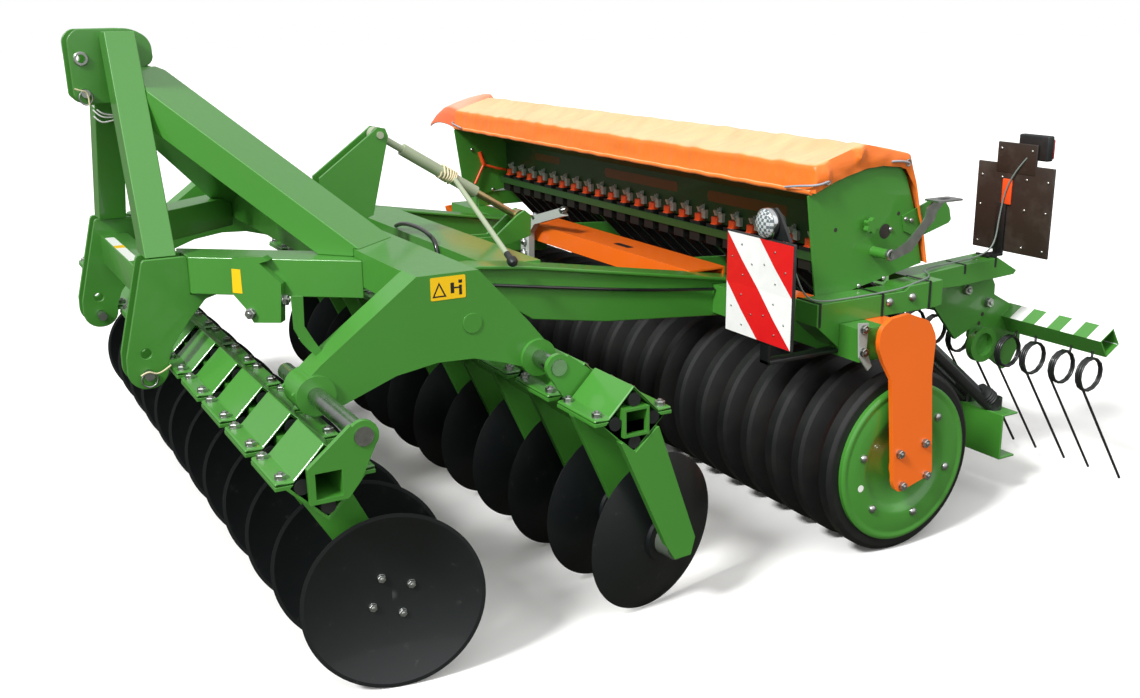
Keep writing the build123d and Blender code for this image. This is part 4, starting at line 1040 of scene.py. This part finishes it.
collar = turned([(0.0105, 0.0), (0.0185, 0.0), (0.0185, 0.010), (0.0165, 0.012), (0.0105, 0.012),
                 (0.0105, 0.0)], 32)
new_piece("crank_collar", moved(collar, turned_to(CRANK_AT)), zinc, "rear_frame")
crank_outline = [(0.612, 0.918), (0.657, 0.940), (0.690, 0.968), (0.712, 0.988), (0.728, 1.009),
                 (0.733, 1.035), (0.759, 1.056), (0.800, 1.056), (0.798, 1.043), (0.776, 1.023),
                 (0.766, 0.994), (0.738, 0.973), (0.705, 0.936), (0.677, 0.907), (0.619, 0.891),
                 (0.602, 0.888), (0.590, 0.896), (0.592, 0.910)]
new_piece("crank_lever", plate_work(crank_outline, 1.3525, 1.3585), zinc, "rear_frame",
          sharp=30)
film("crank_plate", (1.330, 0.742, 1.056), (1.398, 0.846, 1.061), zinc, "rear_frame", 0.010)
# Painted shade: a black film stands in for the dark inside of the crank plate's slot.
film("crank_slot", (1.352, 0.775, 1.0611), (1.376, 0.815, 1.0614), black, "rear_frame", 0.009)
sector = [(0.703, 1.005), (0.823, 1.047), (0.885, 1.036), (0.905, 1.012), (0.915, 0.975), (0.905, 0.965),
          (0.772, 0.929), (0.715, 0.955)]
new_piece("crank_sector", plate_work(sector, 1.2812, END_DOMES_X), green, "rear_frame",
          sharp=30)
for name, seats, size in (
        ("drill_end_domes",
         mirrored(sideways((END_DOMES_X, 0.716, 0.994), (END_DOMES_X, 0.740, 0.988),
                           (END_FACE_X, 0.540, 0.800), (END_FACE_X, 0.643, 0.812),
                           (END_FACE_X, 0.660, 0.966))), 0.55),
        ("side_beam_domes",
         mirrored(sideways((BEAM_FACE_X, 0.575, 0.764), (BEAM_FACE_X, 0.670, 0.768))), 0.95),
        ("far_plate_domes",
         [((FAR_INNER_X, y, z), (1, 0, 0)) for y, z in ((0.411, 0.998), (0.517, 0.800), (0.626, 0.802))],
         0.6)):
    scatter(name, dome, seats, "rear_frame", size)
hole = matt("painted_hole_shade", "#2A2420", 0.8, 2.0, 0.0003)


def paint_hole_shade(name, centre, radius):
    """Painted shade of a drilled hole, as a thin dark disc on a face across X."""
    work = turned([(0, 0), (radius, 0), (radius, 0.0004), (0, 0.0004)], 28)
    side = 1 if centre[0] > 0 else -1
    new_piece(name, moved(work, turned_to(centre, side)), hole, "rear_frame")


for number, (y, z, radius) in enumerate(
        ((0.435, 0.985, 0.0065), (0.637, 0.962, 0.0235), (0.690, 1.013, 0.0065))):
    paint_hole_shade(f"end_plate_hole_{number + 1}", (1.2801, y, z), radius)
star = []
for k in range(50):
    turn = 2 * math.pi * k / 50
    reach = 0.021 + 0.0045 * math.cos(5 * turn)
    star.append((STAR_AT[0] + reach * math.cos(turn), STAR_AT[1] + reach * math.sin(turn)))
new_piece("star_knob", plate_work(star, 1.290, 1.308), green, "rear_frame", sharp=50)
stem = moved(turned([(0.009, 0), (0.010, 0.012), (0.0, 0.012)], 20), turned_to((1.2795, *STAR_AT)))
new_piece("star_knob_stem", stem, green, "rear_frame")
for name, line, radius in (
        ("far_fork_stem", [(-1.268, 0.448, 0.985), (-1.266, 0.458, 0.955), FORK_AT], 0.010),
        ("far_fork_low", [FORK_AT, (-1.262, 0.440, 0.880), (-1.260, 0.415, 0.835)], 0.006),
        ("far_fork_back", [FORK_AT, (-1.262, 0.520, 0.905), (-1.258, 0.580, 0.893)], 0.006)):
    wire(name, line, radius, orange_plastic, "rear_frame")
for number, (y, top) in enumerate(((0.300, 0.7925), (0.547, 0.7925), (0.744, 0.8095))):
    band = bmesh.new()
    outer = [(1.2790, 0.7205), (1.3818, 0.7205), (1.3818, top), (1.2790, top)]
    for (xa, za), (xb, zb) in zip(outer, outer[1:] + outer[:1]):
        slab(band, (min(xa, xb) - TIE_T, y - TIE_HALF, min(za, zb) - TIE_T),
             (max(xa, xb) + TIE_T, y + TIE_HALF, max(za, zb) + TIE_T))
    new_piece(f"beam_tie_{number + 1}", band, black, "rear_frame")
for number, (y, low, top) in enumerate(((1.004, 0.785, 0.8165), (1.146, 0.792, 0.8290))):
    band = bmesh.new()
    slab(band, (1.196, y - TIE_HALF, low), (1.2812, y + TIE_HALF, top))
    new_piece(f"rear_tie_{number + 1}", band, black, "rear_frame")


# Warning boards and lamps
# A red and white striped board with four embossed fields faces forward; the rear one shows its dark back.
# Each carries a lamp, and a grey cable runs between them along the side beam.
BOARD_LEFT, BOARD_RIGHT, BOARD_LOW, BOARD_TOP = 1.179, 1.481, 0.700, 1.000
BOARD_WIDE, BOARD_TALL = BOARD_RIGHT - BOARD_LEFT, BOARD_TOP - BOARD_LOW
BOARD_FACE = 0.1068
BOARD_RIM = 0.005
EMBOSS = 0.0028
STRIPE_RED = "#DC1A1E"
STRIPE_WHITE = "#F2F2F0"
LAMP_AT = Vector((1.360, 0.125, 1.048))

striped, tree, skin, place = new_material("striped_film")
spot = node(tree, "ShaderNodeSeparateXYZ", {"Vector": place.outputs["Object"]}).outputs
across = calc(tree, "MULTIPLY_ADD", spot["X"], 1 / BOARD_WIDE, -BOARD_LEFT / BOARD_WIDE)
slant = calc(tree, "MULTIPLY_ADD", spot["Z"], 1 / BOARD_TALL, across)
turn = calc(tree, "FRACT", calc(tree, "SUBTRACT", slant, BOARD_TOP / BOARD_TALL))
stripe = blend(tree, calc(tree, "LESS_THAN", turn, 0.5), colour(STRIPE_RED), colour(STRIPE_WHITE))
dim = ramp(tree, clouds(tree, place, 22.0, 6.0), 0.86, 1.04)
cells = node(tree, "ShaderNodeTexVoronoi", {"Vector": place.outputs["Object"], "Scale": 320.0})
fill(tree, skin, {"Base Color": shaded(tree, dim, stripe), "Roughness": 0.32,
                  "Normal": bumps(tree, cells.outputs["Distance"], 0.15, 0.0004)})
face = bmesh.new()
seats = []
for column in (0, 1):
    for level in (0, 1):
        x0 = BOARD_LEFT + BOARD_WIDE / 2 * column
        x1 = x0 + BOARD_WIDE / 2
        z0 = BOARD_LOW + BOARD_TALL / 2 * level
        z1 = z0 + BOARD_TALL / 2
        ring = [face.verts.new((x, BOARD_FACE, z)) for x, z in ((x0, z0), (x1, z0), (x1, z1), (x0, z1))]
        peak = face.verts.new(((x0 + x1) / 2, BOARD_FACE - EMBOSS, (z0 + z1) / 2))
        for k in range(4):
            face.faces.new((ring[k], ring[(k + 1) % 4], peak))
        for u, v in ((0.24, 0.10), (0.09, 0.24), (0.40, 0.27), (0.26, 0.40)):
            x = BOARD_LEFT + BOARD_WIDE * (u + 0.5 * column)
            z = BOARD_TOP - BOARD_TALL * (v + 0.5 * level)
            seats.append(((x, BOARD_FACE - 0.0012, z), (0, -1, 0)))
bmesh.ops.remove_doubles(face, verts=face.verts, dist=0.0005)
new_piece("front_board_face", face, striped, "rear_frame", "warning_boards", sharp=1)
rounded_slab("front_board_shell", (BOARD_LEFT - BOARD_RIM, 0.1070, BOARD_LOW - BOARD_RIM),
             (BOARD_RIGHT + BOARD_RIM, 0.1175, BOARD_TOP + BOARD_RIM), 0.0045, black, "rear_frame")
scatter("front_board_rivets", rivet, seats, "rear_frame", 0.55)

board_back = matt("board_back", "#2B211A", 0.5, 3.0, 0.0006, 0.06)
rounded_slab("rear_board_back", (1.128, 1.1965, 0.838), (1.442, 1.2045, 1.132), 0.0035, board_back,
             "rear_frame")
rounded_slab("rear_board_top", (1.207, 1.1950, 1.100), (1.369, 1.2030, 1.202), 0.0035, board_back,
             "rear_frame")
film("rear_board_face", (1.134, 1.2046, 0.844), (1.436, 1.2052, 1.126), striped, "rear_frame", 0.01)
seats = [((x, 1.1963, z), (0, -1, 0)) for x in (1.150, 1.235, 1.335, 1.420) for z in (0.860, 0.985, 1.085)]
seats += [((x, 1.1948, 1.180), (0, -1, 0)) for x in (1.225, 1.350)]
scatter("rear_board_rivets", rivet, seats, "rear_frame", 0.8)
rounded_slab("rear_reflector", (1.242, 1.1895, 0.997), (1.281, 1.1968, 1.082), 0.003, orange_plastic,
             "rear_frame")
stays = bmesh.new()
slab(stays, (1.340, 0.1125, 0.632), (1.380, 0.1205, 1.020))
slab(stays, (1.340, 0.1125, 0.632), (1.380, 0.380, 0.644))
slab(stays, (1.225, 1.1880, 0.823), (1.265, 1.1960, 1.000))
slab(stays, (1.225, 1.125, 0.823), (1.265, 1.196, 0.833))
new_piece("board_stays", rounded(stays, stays.edges[:], 0.0018, 2),
          enamel("stay_black", "#101214", 0.4, coat=0.3), "rear_frame", "lamps")

clear, tree, skin, place = new_material("clear_lens")
ribs = node(tree, "ShaderNodeTexWave", {"Vector": place.outputs["Object"], "Scale": 60.0, "Distortion": 1.0})
# Painted reflection: the lens's dark and light grey checker stands in for the glints of its prisms.
painted_facet_glints = node(tree, "ShaderNodeTexChecker", {"Vector": place.outputs["Object"], "Scale": 110.0,
                                             "Color1": colour("#6C767A"), "Color2": colour("#D8DDDD")})
fill(tree, skin, {"Base Color": painted_facet_glints.outputs["Color"], "Roughness": 0.14, "Transmission Weight": 0.25,
                  "Normal": bumps(tree, ribs.outputs["Fac"], 0.3, 0.001)})
arm_outline = [(1.345, 1.005), (1.352, 1.080), (1.375, 1.092), (1.398, 1.075), (1.440, 1.012), (1.446, 1.003)]
new_piece("front_lamp_arm", plate_work(arm_outline, 0.122, 0.132, axis=1), black, "rear_frame",
          sharp=30)
for name, back, finish, slot, profile in (
        ("front_lamp_holder", 0.014, black, "black_plastic",
         [(0, 0.0), (0.041, 0.0), (0.043, 0.004), (0.041, 0.014), (0.030, 0.034), (0.020, 0.050),
          (0.0, 0.052)]),
        ("front_lamp_reflector", 0.008, plated("lamp_reflector", "#D9DCDE", 0.12, 4.0), "bright_steel",
         [(0, -0.006), (0.020, -0.008), (0.037, -0.016), (0.0405, -0.018), (0.0425, -0.017),
          (0.043, -0.010), (0.042, 0.0)]),
        ("front_lamp_lens", 0.008, clear, "lamp_plastic",
         [(0, -0.034), (0.010, -0.0335), (0.022, -0.0305), (0.032, -0.026), (0.039, -0.019),
          (0.0405, -0.0165), (0.036, -0.0165), (0, -0.030)])):
    stand = turned_to(LAMP_AT - Vector((0, back, 0)), -1, "X")
    new_piece(name, moved(turned(profile, 40), stand), finish, "rear_frame")
rounded_slab("rear_lamp_hood", (1.283, 1.203, 1.150), (1.403, 1.232, 1.232), 0.006, black, "rear_frame")
rounded_slab("rear_lamp_lens", (1.288, 1.232, 1.156), (1.398, 1.244, 1.220), 0.005,
             enamel("red_reflector", "#B8160F", 0.25, coat=0.8, mottle=0.02), "rear_frame")
lamp_line = [(1.372, 0.145, 1.030), (1.376, 0.170, 0.985), (1.378, 0.200, 0.900), (1.377, 0.240, 0.822),
             (1.376, 0.300, 0.796), (1.375, 0.420, 0.7945), (1.374, 0.560, 0.795), (1.372, 0.640, 0.799),
             (1.368, 0.700, 0.810), (1.355, 0.760, 0.813), (1.320, 0.800, 0.813), (1.262, 0.830, 0.814),
             (1.245, 0.900, 0.816), (1.245, 1.000, 0.820), (1.245, 1.090, 0.826), (1.246, 1.150, 0.842),
             (1.247, 1.176, 0.880), (1.247, 1.184, 0.960), (1.262, 1.186, 1.050), (1.300, 1.188, 1.120),
             (1.330, 1.196, 1.158)]
# The cable's grey is lighter than its own colour, painted light against the shade it lies in along the side
# beam.
cable("lamp_cable_side", lamp_line, 0.0055, matt("cable_grey_with_painted_light", "#74817A", 0.5, 1.0, 0.0002), "rear_frame")


# Following harrow
# Square beam with white reflecting bands towards its ends, and black spring tines with two-turn coils.
BAND_START, BAND_PITCH, BAND_SHARE = 1.090, 0.1065, 0.50
BAND_LEVEL = 0.550
BAND_FACES_UP = 0.5
DRUM_AT = (1.160, 1.232, 0.487)
TINE_COUNT = 28
TINE_PITCH = 0.1148
TINE_ROOT = (1.352, 0.530)
COIL_AT = (1.331, 0.456)
COIL_R = 0.0555
COIL_TURNS = 2.4
COIL_STEPS = 34
WIRE_R = 0.0045
TINE_TIP = (1.5395, 0.050)
QUADRANT_FACE = 1.1825

soften("harrow_carriers", green)
banded = enamel("banded_beam", GREEN, GREEN_GLOSS)
tree = banded.node_tree
skin = tree.nodes["Principled BSDF"]
plain = skin.inputs["Base Color"].links[0].from_socket
place = node(tree, "ShaderNodeTexCoord")
spot = node(tree, "ShaderNodeSeparateXYZ", {"Vector": place.outputs["Object"]}).outputs
facing = node(tree, "ShaderNodeSeparateXYZ", {"Vector": place.outputs["Normal"]}).outputs["Z"]
away = calc(tree, "ABSOLUTE", spot["X"])
along = calc(tree, "FRACT", calc(tree, "MULTIPLY_ADD", away, 1 / BAND_PITCH, -BAND_START / BAND_PITCH))
band = calc(tree, "LESS_THAN", along, BAND_SHARE)
for value, least in ((away, BAND_START), (spot["Z"], BAND_LEVEL), (facing, BAND_FACES_UP)):
    band = calc(tree, "MULTIPLY", band, calc(tree, "GREATER_THAN", value, least))
fill(tree, skin, {"Base Color": blend(tree, band, plain, colour("#E8EDE6"))})
soften("harrow_beam", banded, FINE_ROUND)
for label, side in SIDES.items():
    drum = turned([(0, 0), (0.044, 0), (0.044, 0.020), (0.060, 0.020), (0.060, 0), (0.063, 0), (0.063, 0.026),
                   (0.042, 0.026), (0.040, 0.006), (0, 0.006)], 36)
    new_piece(f"harrow_drum_{label}", moved(drum, turned_to((side * DRUM_AT[0], *DRUM_AT[1:]), side)), green,
              "harrow")
tines = bpy.data.curves.new("harrow_tines_detail", "CURVE")
tines.dimensions = "3D"
tines.bevel_depth = WIRE_R
tines.bevel_resolution = 2
tines.use_fill_caps = True
lean = Vector((TINE_TIP[0] - COIL_AT[0], TINE_TIP[1] - COIL_AT[1]))
leave = math.atan2(lean.y, lean.x) - math.acos(COIL_R / lean.length)
begin = leave - 2 * math.pi * COIL_TURNS
for number in range(TINE_COUNT):
    x = (number - (TINE_COUNT - 1) / 2) * TINE_PITCH
    hand = 1 if number % 2 else -1
    points = [(x - hand * 0.016, *TINE_ROOT)]
    for k in range(COIL_STEPS + 1):
        t = k / COIL_STEPS
        angle = begin + (leave - begin) * t
        points.append((x + hand * (0.020 * t - 0.014), COIL_AT[0] + COIL_R * math.cos(angle),
                       COIL_AT[1] + COIL_R * math.sin(angle)))
    points.append((x + hand * 0.006, *TINE_TIP))
    line = tines.splines.new("POLY")
    line.points.add(len(points) - 1)
    for point, spot in zip(line.points, points):
        point.co = (*spot, 1)
tines.materials.append(enamel("spring_black", "#191B1C", 0.36, coat=0.3, mottle=0.1))
settle(in_scene("harrow_tines_detail", tines), "harrow", "harrow_tines")
scatter("quadrant_pins", bolt_m16, mirrored(sideways((QUADRANT_FACE, 1.125, 0.698),
                                                     (QUADRANT_FACE, 1.236, 0.640))), "rear_frame",
        1.3)
# Painted shade of the quadrant's three holes on each side, as dark discs.
for label, side in SIDES.items():
    for number, (y, z) in enumerate(((1.215, 0.600), (1.201, 0.569), (1.192, 0.536))):
        paint_hole_shade(f"quadrant_hole_{label}_{number + 1}", (side * QUADRANT_FACE, y, z), 0.0075)

for model in [piece for piece in bpy.data.objects if piece.name.startswith("model_")]:
    bpy.data.objects.remove(model)
